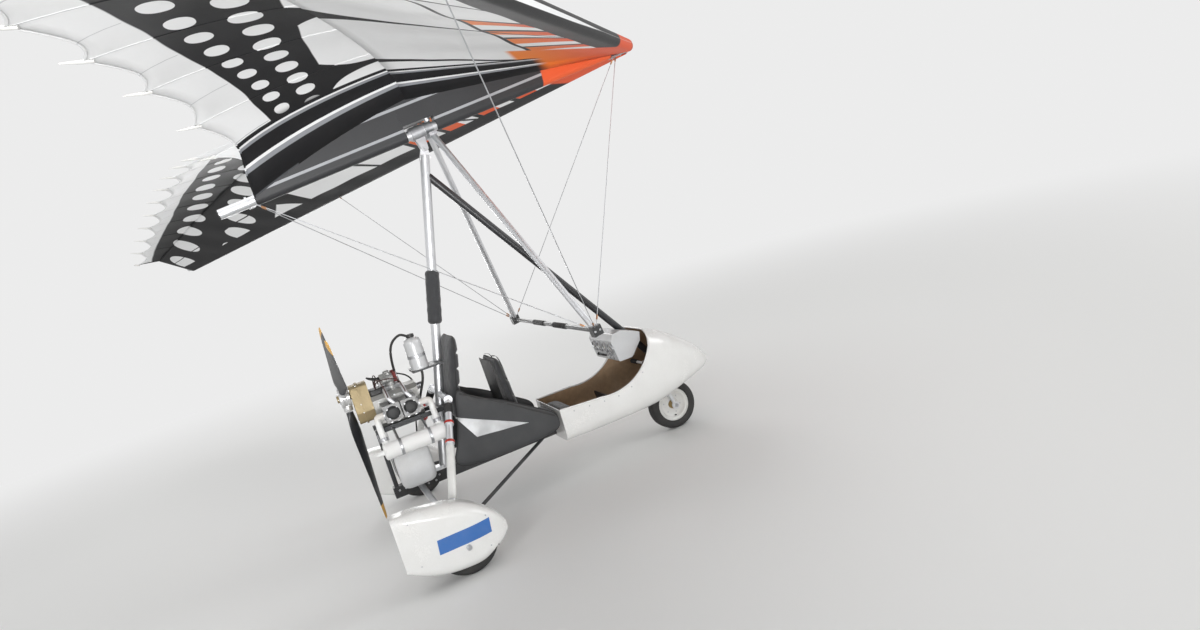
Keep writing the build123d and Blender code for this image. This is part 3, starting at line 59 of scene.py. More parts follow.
def ahead(distance):
    """Place along X of a point this far ahead of the rear axle."""
    return AXLE_X + distance


def at(x, y, z):
    """Points in millimetres: ahead of the rear axle, to port, and above the ground."""
    return np.stack(np.broadcast_arrays(ahead(x * MM), y * MM, z * MM), -1)


def unit(vector):
    """Vectors brought to length 1."""
    vector = np.asarray(vector, float)
    return vector / np.linalg.norm(vector, axis=-1, keepdims=True)


def stand(data, right, up, back, place):
    """Camera or lamp standing on these axes at this place."""
    made = bpy.data.objects.new(data.name, data)
    rows = [[right[i], up[i], back[i], place[i]] for i in range(3)]
    made.matrix_world = Matrix(rows + [[0, 0, 0, 1]])
    bpy.context.scene.collection.objects.link(made)
    return made


level_ahead = np.array((np.sin(VIEW_YAW), np.cos(VIEW_YAW), 0.0))
level_right = np.array((np.cos(VIEW_YAW), -np.sin(VIEW_YAW), 0.0))
forward = level_ahead * np.cos(VIEW_PITCH) + UPWARD * np.sin(VIEW_PITCH)
level_up = np.cross(level_right, forward)
right = level_right * np.cos(VIEW_ROLL) + level_up * np.sin(VIEW_ROLL)
up = level_up * np.cos(VIEW_ROLL) - level_right * np.sin(VIEW_ROLL)
camera_data = bpy.data.cameras.new("camera")
camera_data.sensor_width = SENSOR
camera_data.lens = LENS
camera_data.clip_end = SIGHT
bpy.context.scene.camera = stand(camera_data, right, up, -forward, at(*VIEW_PLACE))
bpy.context.scene.view_settings.view_transform = "Standard"

# Studio: a plain pale floor that keeps the aircraft's shadow, a white surround, large
# soft lamps on both sides, ahead and above, and two low narrow ones for the wing's
# underside. Away from the aircraft the floor melts into the backdrop.
FLOOR_HALF = 60.0
FLOOR_COLOUR, WHITE = (0.80, 0.80, 0.79, 1.0), (1.0, 1.0, 1.0, 1.0)
FLOOR_FADE = (4.5, 12.0)
AMBIENT, BACKDROP = 0.48, 0.84


def link(value, socket):
    """Feed a socket from a Value or another socket."""
    socket.id_data.links.new(getattr(value, "socket", value), socket)


def add_node(tree, kind, inputs=None, **settings):
    """Add a node, set its options, and fill or link its inputs by name or number."""
    node = tree.nodes.new(kind)
    for key, value in settings.items():
        setattr(node, key, value)
    for key, value in (inputs or {}).items():
        if isinstance(value, (Value, bpy.types.NodeSocket)):
            link(value, node.inputs[key])
        else:
            node.inputs[key].default_value = value
    return node


def number(operation, *parts):
    """Result of one Math node on Values and plain numbers."""
    tree = next(part.socket.id_data for part in parts if isinstance(part, Value))
    node = add_node(tree, "ShaderNodeMath", dict(enumerate(parts)), operation=operation)
    return Value(node.outputs[0])


class Value:
    """A number in a shader; arithmetic on it adds the nodes that work it out."""

    def __init__(self, socket):
        self.socket = socket

    def __add__(self, other):
        return number("ADD", self, other)

    def __sub__(self, other):
        return number("SUBTRACT", self, other)

    def __rsub__(self, other):
        return number("SUBTRACT", other, self)

    def __mul__(self, other):
        return number("MULTIPLY", self, other)

    def __truediv__(self, other):
        return number("DIVIDE", self, other)

    def __pow__(self, other):
        return number("POWER", self, other)

    def __or__(self, other):
        return number("MAXIMUM", self, other)

    def __abs__(self):
        return number("ABSOLUTE", self)

    def line(self, slope, base):
        """This number times slope, plus base."""
        return number("MULTIPLY_ADD", self, slope, base)

    def wave(self, count):
        """Sine of this number times count."""
        return number("SINE", self * count)

    def fraction(self):
        """What is left after the whole part."""
        return number("FRACT", self)

    def step(self, low, high):
        """0 at low and 1 at high with a soft rise; low may be the larger."""
        inputs = {0: self, 1: low, 2: high, 3: 0.0, 4: 1.0}
        tree = self.socket.id_data
        node = add_node(tree, "ShaderNodeMapRange", inputs, interpolation_type="SMOOTHSTEP")
        return Value(node.outputs[0])

    def spread(self, low, high, first=0.3, last=0.7):
        """Goes evenly from low to high as this number goes from first to last."""
        inputs = {0: self, 1: first, 2: last, 3: low, 4: high}
        return Value(add_node(self.socket.id_data, "ShaderNodeMapRange", inputs).outputs[0])

    def mix(self, first, second):
        """Colour that goes from first to second as this number goes from 0 to 1."""
        first, second = ((*c, 1.0) if isinstance(c, tuple) else c for c in (first, second))
        inputs = {0: self, 6: first, 7: second}
        return add_node(self.socket.id_data, "ShaderNodeMix", inputs, data_type="RGBA").outputs[2]


def new_material(name):
    """New material with its Principled shader; returns the material, tree and shader."""
    made = bpy.data.materials.new(name)
    made.use_nodes = True
    return made, made.node_tree, made.node_tree.nodes["Principled BSDF"]


def place_in(tree):
    """Socket with the place in the object's own frame."""
    return add_node(tree, "ShaderNodeTexCoord").outputs["Object"]


floor_mesh = bpy.data.meshes.new("floor")
floor_corners = [(x * FLOOR_HALF, y * FLOOR_HALF, 0.0) for x, y in ((-1, -1), (1, -1), (1, 1), (-1, 1))]
floor_mesh.from_pydata(floor_corners, [], [(0, 1, 2, 3)])
floor = bpy.data.objects.new("floor", floor_mesh)
bpy.context.scene.collection.objects.link(floor)
floor_material, tree, shader = new_material("studio_floor")
shader.inputs["Base Color"].default_value = FLOOR_COLOUR
shader.inputs["Roughness"].default_value = 0.75
reach = add_node(tree, "ShaderNodeVectorMath", {0: place_in(tree)}, operation="LENGTH")
direct = Value(add_node(tree, "ShaderNodeLightPath").outputs["Is Camera Ray"])
seen_off = Value(reach.outputs["Value"]).step(*FLOOR_FADE) * direct
backdrop = add_node(tree, "ShaderNodeEmission", {"Color": WHITE, "Strength": BACKDROP})
blend_inputs = {0: seen_off, 1: shader.outputs[0], 2: backdrop.outputs[0]}
blend = add_node(tree, "ShaderNodeMixShader", blend_inputs)
link(blend.outputs[0], tree.nodes["Material Output"].inputs["Surface"])
floor_mesh.materials.append(floor_material)

world = bpy.data.worlds.new("studio")
bpy.context.scene.world = world
world.use_nodes = True
rays = add_node(world.node_tree, "ShaderNodeLightPath").outputs
direct, mirrored, through = (Value(rays[f"Is {kind} Ray"]) for kind in ("Camera", "Glossy", "Transmission"))
surround = world.node_tree.nodes["Background"].inputs
surround["Color"].default_value = WHITE
link((direct | mirrored | through).spread(AMBIENT, BACKDROP, 0.0, 1.0), surround["Strength"])

# Lamps: name, place, aim, size, power, spread
LAMPS = (
    ("key", (-7.5, -12.5, 8.0), (0.2, 0.0, 1.6), 6.5, 620.0, 3.14),
    ("wing", (-1.0, -8.0, 0.6), (0.4, -1.6, 3.2), 3.0, 125.0, 1.2),
    ("fill", (12.5, -5.0, 6.5), (0.4, 0.0, 1.4), 6.0, 330.0, 3.14),
    ("port", (2.0, 14.0, 8.0), (0.0, 0.0, 1.8), 7.0, 440.0, 3.14),
    ("port_wing", (0.5, 8.5, 0.6), (0.2, 2.2, 3.2), 3.0, 60.0, 1.2),
    ("top", (-1.0, 0.0, 11.0), (0.0, 0.0, 2.0), 8.0, 220.0, 3.14),
)
for name, spot, aim, size, power, spread in LAMPS:
    lamp = bpy.data.lights.new(name, "AREA")
    lamp.shape = "DISK"
    lamp.size, lamp.energy, lamp.spread = size, power, spread
    back = unit(np.subtract(spot, aim))
    side = unit(np.cross(UPWARD if abs(back[2]) < 0.99 else ACROSS, back))
    stand(lamp, side, np.cross(back, side), back, spot)

# Keel beam: welded box spine in semi-gloss black paint, rubbed to bare metal along its
# edges. The round control bar of the wing wears the same black coat.
DUST = (0.42, 0.38, 0.32)


def new_group(name, inputs, outputs):
    """Shader group with number inputs and outputs; returns it, its inputs and its end."""
    group = bpy.data.node_groups.new(name, "ShaderNodeTree")
    for label, default in inputs.items():
        socket = group.interface.new_socket(label, in_out="INPUT", socket_type="NodeSocketFloat")
        socket.default_value = default
    for label in outputs:
        group.interface.new_socket(label, in_out="OUTPUT", socket_type="NodeSocketFloat")
    start, end = group.nodes.new("NodeGroupInput"), group.nodes.new("NodeGroupOutput")
    return group, start.outputs, end.inputs


def noise(vector, scale, detail, roughness=0.5):
    """Soft noise at a place; scale counts its swells in a metre."""
    inputs = {"Vector": vector, "Scale": scale, "Detail": detail, "Roughness": roughness}
    return Value(add_node(vector.id_data, "ShaderNodeTexNoise", inputs).outputs["Fac"])


def split(vector):
    """The three numbers of a vector."""
    return [Value(part) for part in add_node(vector.id_data, "ShaderNodeSeparateXYZ", {0: vector}).outputs]


# Shared effects: bare edges, settled dust, and the fine grain of a finish
edge_wear, wear_in, wear_out = new_group("edge_wear", {"Width": 0.003, "Amount": 0.5}, ["Mask"])
rounded = add_node(edge_wear, "ShaderNodeBevel", {"Radius": wear_in["Width"]}, samples=3).outputs[0]
surface = add_node(edge_wear, "ShaderNodeNewGeometry").outputs["Normal"]
meet = add_node(edge_wear, "ShaderNodeVectorMath", {0: rounded, 1: surface}, operation="DOT_PRODUCT")
bare = (1.0 - Value(meet.outputs["Value"])).step(0.02, 0.22)
chips = noise(place_in(edge_wear), 38.0, 5.0, 0.7).step(0.42, 0.66)
link(bare * chips * Value(wear_in["Amount"]), wear_out["Mask"])

dusting, dust_in, dust_out = new_group("dusting", {"Amount": 0.3, "Scale": 6.0}, ["Mask"])
drift = noise(place_in(dusting), dust_in["Scale"], 6.0, 0.62).step(0.35, 0.75)
flat_top = split(add_node(dusting, "ShaderNodeNewGeometry").outputs["Normal"])[2].step(-0.4, 1.0)
link(drift * flat_top.line(0.7, 0.3) * Value(dust_in["Amount"]), dust_out["Mask"])

grain, grain_in, grain_out = new_group("grain", {"Scale": 300.0, "Broad": 14.0}, ["Tone", "Height"])
fine = noise(place_in(grain), grain_in["Scale"], 3.0)
broad = noise(place_in(grain), grain_in["Broad"], 5.0)
link(fine.line(0.35, broad * 0.65), grain_out["Tone"])
link(fine, grain_out["Height"])


def effect(tree, group, **inputs):
    """Outputs of a shared effect placed in a material with its own values."""
    node = tree.nodes.new("ShaderNodeGroup")
    node.node_tree = group
    for key, value in inputs.items():
        node.inputs[key].default_value = value
    return [Value(socket) for socket in node.outputs]


def surfaced(shader, tone, rough, height, distance, strength):
    """Give a shader its colour, its roughness and its bumps."""
    inputs = {"Height": height, "Distance": distance, "Strength": strength}
    bump = add_node(shader.id_data, "ShaderNodeBump", inputs)
    link(tone, shader.inputs["Base Color"])
    link(rough, shader.inputs["Roughness"])
    link(bump.outputs[0], shader.inputs["Normal"])


def finished(name, colour, roughness, metallic, worn, wear, dust, scale, depth, coat=0.0, shade=0.16):
    """Material of one finish.

    Colour is a tuple, or a function that makes its socket. The worn colour shows on a
    share wear of the edges, and dust covers its own share. Scale and depth are those of
    the grain, and shade is how far the grain moves the colour.
    """
    made, tree, shader = new_material(name)
    life, height = effect(tree, grain, Scale=scale, Broad=scale / 22)
    inputs = {0: colour(tree) if callable(colour) else colour, 3: life.spread(1 - shade, 1 + shade)}
    tone = add_node(tree, "ShaderNodeVectorMath", inputs, operation="SCALE").outputs[0]
    rough = life.spread(roughness - 0.06, roughness + 0.08)
    if wear:
        tone = effect(tree, edge_wear, Width=0.004, Amount=wear)[0].mix(tone, worn)
    if dust:
        settled = effect(tree, dusting, Amount=dust, Scale=5.0)[0]
        tone = settled.mix(tone, DUST)
        rough = settled.line(0.35, rough)
    surfaced(shader, tone, rough, height, depth, 0.6)
    shader.inputs["Metallic"].default_value = metallic
    shader.inputs["Coat Weight"].default_value = coat
    return made


def dress(material, *nodes):
    """Give these construction nodes a material."""
    for node in nodes:
        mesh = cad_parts[node].data
        mesh.materials.clear()
        mesh.materials.append(material)


GREY = (0.40, 0.40, 0.41)
PALE = (0.75, 0.75, 0.75)
SCUFF = (0.1, 0.1, 0.1)
black_paint = finished(
    "black_paint", (0.020, 0.021, 0.023), 0.36, 0.0, GREY, 0.6, 0.08, 420.0, 0.0002, coat=0.3
)
dress(black_paint, "keel_beam", "base_bar", "corner_fittings")

# Mast, wing tubes and stays: drawn aluminium with a satin anodised skin that shows the
# marks of the die along its length and scuffs where clamps have turned. The front strut,
# arms and engine bearers are the same tube in black and dark grey.


def brushed(tree):
    """Pale metal with fine streaks that run up and down the tubes."""
    inputs = {"Vector": place_in(tree), "Scale": (30.0, 30.0, 2.0)}
    stretched = add_node(tree, "ShaderNodeMapping", inputs).outputs[0]
    return noise(stretched, 5.0, 4.0).mix((0.66, 0.67, 0.69), (0.76, 0.77, 0.79))


silver_tube = finished(
    "silver_tube", brushed, 0.38, 0.85, (0.9, 0.9, 0.9), 0.0, 0.10, 500.0, 0.000006, shade=0.05
)
dark_tube = finished(
    "dark_tube", (0.038, 0.040, 0.044), 0.42, 0.25, (0.45, 0.45, 0.45), 0.3, 0.08, 420.0, 0.00004
)
black_tube = finished(
    "black_tube", (0.020, 0.021, 0.024), 0.38, 0.0, (0.4, 0.4, 0.4), 0.0, 0.05, 420.0, 0.00001
)
plated_steel = finished("plated_steel", (0.50, 0.51, 0.53), 0.36, 0.9, PALE, 0.25, 0.20, 600.0, 0.00002)
dress(silver_tube, "mast", "kingpost", "uprights", "wing_keel", "leading_edges")
dress(silver_tube, "suspension_legs", "nose_fork", "foot_bar", "axle_arms")
dress(dark_tube, "drag_struts", "engine_bearer", "seat_rails", "oil_tank_bracket")
dress(black_tube, "front_strut")
dress(plated_steel, "hang_bracket", "upright_knuckle", "nose_plates", "stays")
dress(plated_steel, "stub_axles", "nose_axle", "muffler_hangers")

# Bolts: plated hexagon heads with a washer under each, standing on the fittings that
# join tubes, plates and engine. All heads of one body are one piece.


def joined(*shells):
    """One shell from several: points stacked, and faces counted on past them."""
    points, faces, start = [], [], 0
    for shell_points, shell_faces in shells:
        points.append(np.asarray(shell_points, float).reshape(-1, 3))
        faces += [[start + i for i in face] for face in shell_faces]
        start += len(points[-1])
    return np.concatenate(points), faces


def make_piece(name, shell, smooth=32):
    """Mesh object of a shell, its faces turned outwards, smooth below this angle."""
    mesh = bpy.data.meshes.new(name)
    mesh.from_pydata(shell[0].tolist(), [], shell[1])
    work = bmesh.new()
    work.from_mesh(mesh)
    bmesh.ops.remove_doubles(work, verts=work.verts, dist=1e-6)
    bmesh.ops.recalc_face_normals(work, faces=work.faces)
    work.to_mesh(mesh)
    work.free()
    made = bpy.data.objects.new(name, mesh)
    bpy.context.scene.collection.objects.link(made)
    return smoothed(made, smooth)


def smoothed(piece, angle):
    """Shade a piece smooth where its faces meet below this angle."""
    piece.data.polygons.foreach_set("use_smooth", np.full(len(piece.data.polygons), True))
    piece.data.set_sharp_from_angle(angle=radians(angle))
    return piece


def finish_piece(piece, body, slot, material, *nodes):
    """Dress a piece, tie it to its body, and hide the nodes it stands for; its slot is not used."""
    if material:
        piece.data.materials.append(material)
    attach(piece, body)
    if nodes:
        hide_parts(*nodes)
    return piece


def put(name, shells, body, slot, material, *nodes, smooth=32):
    """Make and finish a piece of one shell, or of a list of shells."""
    shell = joined(*shells) if isinstance(shells, list) else shells
    return finish_piece(make_piece(name, shell, smooth), body, slot, material, *nodes)


def grid_faces(rows, columns, round_rows=True, round_columns=False):
    """Quads between the points of a grid, wrapped round its rows or its columns."""
    index = np.arange(rows * columns).reshape(rows, columns)
    if round_rows:
        index = np.concatenate([index, index[:, :1]], 1)
    if round_columns:
        index = np.concatenate([index, index[:1]], 0)
    quads = np.stack([index[:-1, :-1], index[:-1, 1:], index[1:, 1:], index[1:, :-1]], -1)
    return quads.reshape(-1, 4).tolist()


def closed_tube(rings):
    """Shell through rings of points, with a flat face on each end."""
    rows, columns = rings.shape[:2]
    last = (rows - 1) * columns
    caps = [list(range(columns))[::-1], list(range(last, last + columns))]
    return rings.reshape(-1, 3), grid_faces(rows, columns) + caps


def across_frame(directions):
    """Unit directions with two unit vectors square to each."""
    directions = unit(directions)
    helper = np.where(np.abs(directions[..., 2:3]) < 0.9, UPWARD, ONWARD)
    first = unit(np.cross(helper, directions))
    return directions, first, np.cross(directions, first)


def turned(centre, direction, profile, sides=32, power=2.0):
    """Shell of a profile of (height, radius) rows, in millimetres, carried round an axis.

    Point = centre + axis * height + (first * cos + second * sin) * radius * stretch,
    where stretch makes the ring a superellipse of the given power: 2 is round, 4 is
    nearly square.
    """
    axis, first, second = across_frame(direction)
    profile = np.asarray(profile, float) * MM
    angle = np.linspace(0, 2 * np.pi, sides, endpoint=False) + np.pi / sides
    stretch = (np.abs(np.cos(angle)) ** power + np.abs(np.sin(angle)) ** power) ** (-1 / power)
    ring = np.outer(np.cos(angle) * stretch, first) + np.outer(np.sin(angle) * stretch, second)
    height, radius = profile[:, None, None, 0], profile[:, None, None, 1]
    return closed_tube(np.asarray(centre, float) + height * axis + radius * ring[None])


def spun(centre, direction, rows, sides=32, power=2.0):
    """Turned shell that is closed on its axis at both ends."""
    rows = list(rows)
    lids = [[(end[0], 0.0)] if end[1] > 0 else [] for end in (rows[0], rows[-1])]
    return turned(centre, direction, lids[0] + rows + lids[1], sides, power)


def line_shell(path, radius, sides=12, flat=1.0, lie=None):
    """Shell of a round or flat bar, its radius in millimetres, along a path of points.

    Ring = path point + first * cos * radius + second * sin * radius * flat. First is
    level, or square to the vector lie where that is given.
    """
    path = np.asarray(path, float)
    along, first, second = across_frame(np.gradient(path, axis=0))
    if lie is not None:
        first = unit(np.cross(np.asarray(lie, float), along))
        second = np.cross(along, first)
    angle = np.linspace(0, 2 * np.pi, sides, endpoint=False)[None, :, None]
    reach = np.broadcast_to(np.asarray(radius, float) * MM, (len(path),))[:, None, None]
    ring = first[:, None] * np.cos(angle) + second[:, None] * np.sin(angle) * flat
    return closed_tube(path[:, None] + reach * ring)


def eased(points, rounds=4):
    """Rounded line: each round cuts every inner corner at a quarter of its runs."""
    points = np.asarray(points, float)
    for _ in range(rounds):
        near = points[:-1] * 0.75 + points[1:] * 0.25
        far = points[:-1] * 0.25 + points[1:] * 0.75
        cut = np.stack([near, far], 1).reshape(-1, 3)
        points = np.concatenate([points[:1], cut[1:-1], points[-1:]])
    return points


def led(corners, radius, sides, rounds=4, **shape):
    """Bar or hose along the eased line through corners in millimetres."""
    return line_shell(eased([at(*corner) for corner in corners], rounds), radius, sides, **shape)


# Washer and head: (height, radius) as shares of the bolt's size
BOLT = np.array([(-0.3, 0.95), (0.12, 0.95), (0.12, 0.72), (0.70, 0.72), (0.82, 0.58)])


def hex_heads(spots, size):
    """Hexagon heads on washers; rows of (place, direction out of the surface)."""
    return joined(*[turned(spot, way, BOLT * size, sides=6) for spot, way in spots])


HEAD_RAKE = radians(15.0)
WHEEL_HEIGHT, WHEEL_Y = 175.0, 842.0


def on_head(distance, across=0.0):
    """Point this far up the steering axis from the nose axle, in metres."""
    foot = at(NOSE_AXLE / MM, across / MM, WHEEL_HEIGHT)
    return foot + distance * np.array((-np.sin(HEAD_RAKE), 0.0, np.cos(HEAD_RAKE)))


HANG, MAST_FOOT = at(615, 0, 2349), at(105, 0, 370)
MAST_WAY = unit(HANG - MAST_FOOT)


def on_mast(height, off=(0.0, 0.0, 0.0)):
    """Point on the mast's axis at this height above the ground, or off it, in metres."""
    share = (height - MAST_FOOT[2]) / (HANG[2] - MAST_FOOT[2])
    return MAST_FOOT + (HANG - MAST_FOOT) * share + np.array(off)


SIDES = ((-1, "right"), (1, "left"))
frame_spots = []
for side, _ in SIDES:
    out = (0, side, 0)
    for station in (-200, -160, 60, 150, 330, 550, 700, 930, 1100, 1300):
        frame_spots.append((at(station, side * 30, 345), out))
    for station in (-20, 30, 770, 820):
        frame_spots.append((at(station, side * 30, 318), out))
    frame_spots.append((at(105, side * 30, 382), out))
    frame_spots.append((on_mast(0.755, (0.012, side * 0.060, 0)), ONWARD))
    frame_spots.append((on_mast(0.835, (0.0, side * 0.100, 0.021)), UPWARD))
    frame_spots.append((on_mast(0.835, (0.0, side * 0.294, 0.0)), out))
    for station in (-120, 60):
        frame_spots.append((at(station, side * 82, 740), -UPWARD))
put("frame_bolts", hex_heads(frame_spots, 8), "trike", "steel", plated_steel)

# Steering head: fork crown with pinch bolts and axle nuts. Both turn with the nose wheel
# under the foot bar's ribbed rubber grips.
RUBBER = (0.022, 0.022, 0.023)
rubber = finished("rubber", RUBBER, 0.72, 0.0, SCUFF, 0.0, 0.10, 260.0, 0.0003, shade=0.22)
BAR_PLACE = on_head(0.370) + np.array((-0.046, 0.0, 0.011))
rib = np.arange(25)
swell = 14.8 + 1.6 * (rib % 2)
swell[[0, -1]] = 12.0
grips = [turned(BAR_PLACE, (0, side, 0), np.stack([52 + rib * 4, swell], 1), 20) for side, _ in SIDES]
put("foot_grips", grips, "nose_fork", "black_pad", rubber)
for name, side, size in (("fork_bolts", -1, 8), ("nose_axle_nuts", 1, 14)):
    spots = [(on_head(0.207, side * 0.093), (0, side, 0)), (on_head(0.0, side * 0.091), (0, side, 0))]
    put(name, hex_heads(spots, size), "nose_fork", "steel", plated_steel)

# Wheels: three tubeless tyres of ribbed black rubber on white painted pressed rims, each
# rim bolted up from two halves round a machined hub. The inner tube's valve stands in
# the starboard face.
# Tyre section from the bead to the shoulder: (across, radius)
SIDE_WALL = [(-37.0, 116.5), (-41.5, 121.5), (-45.5, 130.0), (-47.5, 140.0), (-47.8, 148.0), (-46.2, 156.0)]
SIDE_WALL += [(-44.0, 161.5), (-41.5, 165.5), (-38.5, 169.0), (-35.0, 171.2)]
BEAD = [(30.0, 116.4), (-30.0, 116.4)]
GROOVES = (-25.5, -8.5, 8.5, 25.5)
# Half rim section from the outer lip in to the hub, and the barrel that joins the halves
RIM = [(38.8, 117.5), (40.2, 116.0), (40.2, 113.5), (38.0, 111.8), (32.0, 108.5), (30.0, 101.0), (25.5, 96.0)]
RIM += [(18.0, 92.5), (11.0, 86.0), (8.2, 76.0), (8.2, 56.0)]
RIM += [(10.0, 48.0), (17.0, 43.0), (18.5, 40.0), (18.5, 33.0)]
RIM_WALL = 4.5
BARREL = [(-36, 111.8), (36, 111.8), (36, 115.5), (-36, 115.5)]
VALVE = [(0, 4), (18, 3.8), (19, 4.6), (27, 4.6), (29, 3)]
# Wheels: name, body, distance ahead, to port, and hub bore
WHEELS = (
    ("nose", "nose_wheel", 1770, 0, 13.5),
    ("left", "left_wheel", 0, WHEEL_Y, 16.0),
    ("right", "right_wheel", 0, -WHEEL_Y, 16.0),
)
TREAD_LUGS, TREAD_WIDTH = 90, 0.096


def tyre_section():
    """Half outline mirrored: side wall, then a crowned tread with square grooves."""
    tread = []
    for middle in GROOVES:
        crown = 174.8 - 0.0016 * middle**2
        tread += [(middle - 2.8, crown), (middle - 2.0, crown - 4.2)]
        tread += [(middle + 2.0, crown - 4.2), (middle + 2.8, crown)]
    return SIDE_WALL + tread + [(-across, reach) for across, reach in reversed(SIDE_WALL)]


def hoop(centre, first, second, section, steps=120):
    """Ring-shaped shell: a closed section of (along, radius) rows, in millimetres.

    Point = centre + (first * cos + second * sin) * radius + (second x first) * along.
    """
    section = np.asarray(section, float)[:, :, None] * MM
    angle = np.linspace(0, 2 * np.pi, steps, endpoint=False)[:, None, None]
    ring = np.cos(angle) * first + np.sin(angle) * second
    points = centre + ring * section[:, 1] + np.cross(second, first) * section[:, 0]
    return points.reshape(-1, 3), grid_faces(steps, len(section), True, True)


def lay_map(piece, name, worked_out):
    """UV map of a piece, worked out by a function of the places of its face corners."""
    where = np.empty(len(piece.data.vertices) * 3)
    piece.data.vertices.foreach_get("co", where)
    corners = np.empty(len(piece.data.loops), int)
    piece.data.loops.foreach_get("vertex_index", corners)
    layer = piece.data.uv_layers.new(name=name)
    layer.data.foreach_set("uv", worked_out(where.reshape(-1, 3)[corners]).ravel())
    return piece


def round_map(spots):
    """Share of the turn, kept whole within each four-cornered face, and of the width."""
    turn = np.arctan2(spots[:, 0], -spots[:, 2]) / (2 * np.pi)
    turn = turn - np.round(turn - np.repeat(turn[::4], 4))
    return np.stack([turn, spots[:, 1] / TREAD_WIDTH + 0.5], 1)


tyre_rubber, tree, shader = new_material("tyre_rubber")
life, height = effect(tree, grain, Scale=240.0, Broad=20.0)
settled = effect(tree, dusting, Amount=0.30, Scale=9.0)[0]
turn, width, _ = split(add_node(tree, "ShaderNodeUVMap", uv_map="round").outputs[0])
ribs = turn.wave(2 * np.pi * TREAD_LUGS).step(0.55, 0.85) * abs(width - 0.5).step(0.30, 0.22)
tone = settled.mix(life.mix((0.012, 0.012, 0.013), (0.034, 0.033, 0.032)), (0.16, 0.145, 0.125))
surfaced(shader, tone, life.line(0.25, 0.60), height * 0.15 - ribs, 0.0016, 0.8)
enamel = (0.74, 0.74, 0.72)
white_enamel = finished(
    "white_enamel", enamel, 0.28, 0.0, (0.35, 0.34, 0.32), 0.5, 0.30, 360.0, 0.0001, coat=0.4, shade=0.05
)
gold_cast = finished("gold_cast", (0.42, 0.30, 0.13), 0.34, 0.8, (0.7, 0.6, 0.4), 0.5, 0.3, 300.0, 0.0003)
for name, body, station, across, bore in WHEELS:
    centre = at(station, across, WHEEL_HEIGHT)
    tyre = make_piece(name + "_tyre_tread", hoop(centre, -UPWARD, ONWARD, tyre_section() + BEAD))
    lay_map(tyre, "round", lambda spots: round_map(spots - centre))
    finish_piece(tyre, body, "tyre", tyre_rubber, "tyre_" + name)
    half = np.array(RIM)
    face = np.concatenate([half, half[::-1] - (RIM_WALL, 0.0)])
    rim = [hoop(centre, -UPWARD, ONWARD, section) for section in (face, face * (-1, 1), BARREL)]
    put(name + "_rim", rim, body, "white_rim", white_enamel, "rim_" + name, smooth=40)
    hub = [(-46, bore), (-46, 27), (-40, 30), (40, 30), (46, 27), (46, bore)]
    put(name + "_hub", hoop(centre, -UPWARD, ONWARD, hub), body, "gearbox_casting", gold_cast, smooth=40)
    spots = []
    for turn in np.radians(np.arange(0, 360, 60) + 15):
        for way in (-1, 1):
            off = np.array((np.sin(turn) * 66, way * 8.2, -np.cos(turn) * 66)) * MM
            spots.append((centre + off, (0, way, 0)))
    put(name + "_rim_bolts", hex_heads(spots, 5.5), body, "steel", plated_steel)
    stem = centre + np.array((0.0, -6.0, -88.0)) * MM
    put(name + "_valve", turned(stem, (0.0, -0.8, 0.25), VALVE, 12), body, "black_pad", rubber)


# Rear spats: moulded white gel-coated shells, teardrop from the side and open below round
# the wheel, with a blue bonded panel on the outer face and the wheel nut's washer through
# it. The nose wheel has no mudguard of its own: the pod takes its place.
gel_white = (0.80, 0.80, 0.785)
white_gel = finished(
    "white_gel", gel_white, 0.22, 0.0, (0.55, 0.54, 0.5), 0.25, 0.22, 120.0, 0.00008, coat=0.6, shade=0.03
)
blue_panel = finished(
    "blue_panel", (0.030, 0.145, 0.45), 0.35, 0.0, (0.7, 0.7, 0.7), 0.2, 0.25, 140.0, 0.00008,
    coat=0.3, shade=0.06,
)
# Sections: distance ahead of the axle, half width, bottom, top, corner radius
SPAT_SECTIONS = np.array(
    [
        (-335, 62, 150, 460, 30),
        (-240, 80, 100, 459, 46),
        (-150, 90, 66, 450, 60),
        (-50, 92, 50, 432, 66),
        (50, 92, 50, 396, 66),
        (130, 78, 74, 344, 60),
        (200, 54, 112, 276, 46),
        (238, 26, 150, 215, 22),
    ]
)


def drawn_through(sections, steps):
    """Rows eased through section rows: a cubic that takes its slopes from its neighbours."""
    sections = np.asarray(sections, float)
    before, after = 2 * sections[:1] - sections[1:2], 2 * sections[-1:] - sections[-2:-1]
    padded = np.concatenate([before, sections, after])
    share = np.linspace(0, len(sections) - 1, steps)
    index = np.minimum(share.astype(int), len(sections) - 2)
    t = (share - index)[:, None]
    before, start, end, after = (padded[index + k] for k in range(4))
    curve = 2 * start + (end - before) * t
    curve = curve + (2 * before - 5 * start + 4 * end - after) * t**2
    return (curve + (3 * start - before - 3 * end + after) * t**3) / 2


def rounded_rings(sections, place, middle_y):
    """Rings of a rounded box: distance ahead, half width, bottom, top and corner radius."""
    x, half, low, high, corner = sections.T[:, :, None]
    corner = np.minimum(corner, np.minimum(half, (high - low) / 2) * 0.98)
    arc, lay = np.linspace(0, np.pi / 2, 9), np.linspace(0, 1, 8)[1:-1, None]
    quarters, rows = [], []
    for quarter, (way_y, level) in enumerate(
        ((1, high - corner), (-1, high - corner), (-1, low + corner), (1, low + corner))
    ):
        turn = arc + quarter * np.pi / 2
        y = way_y * (half - corner) + corner * np.cos(turn)
        quarters.append(np.stack([y, level + corner * np.sin(turn)], -1))
    for here, following in zip(quarters, quarters[1:] + quarters[:1]):
        rows += [here, here[:, -1:] * (1 - lay) + following[:, :1] * lay]
    y, z = np.moveaxis(np.concatenate(rows, 1), -1, 0)
    return at(place + x, middle_y + y, z)


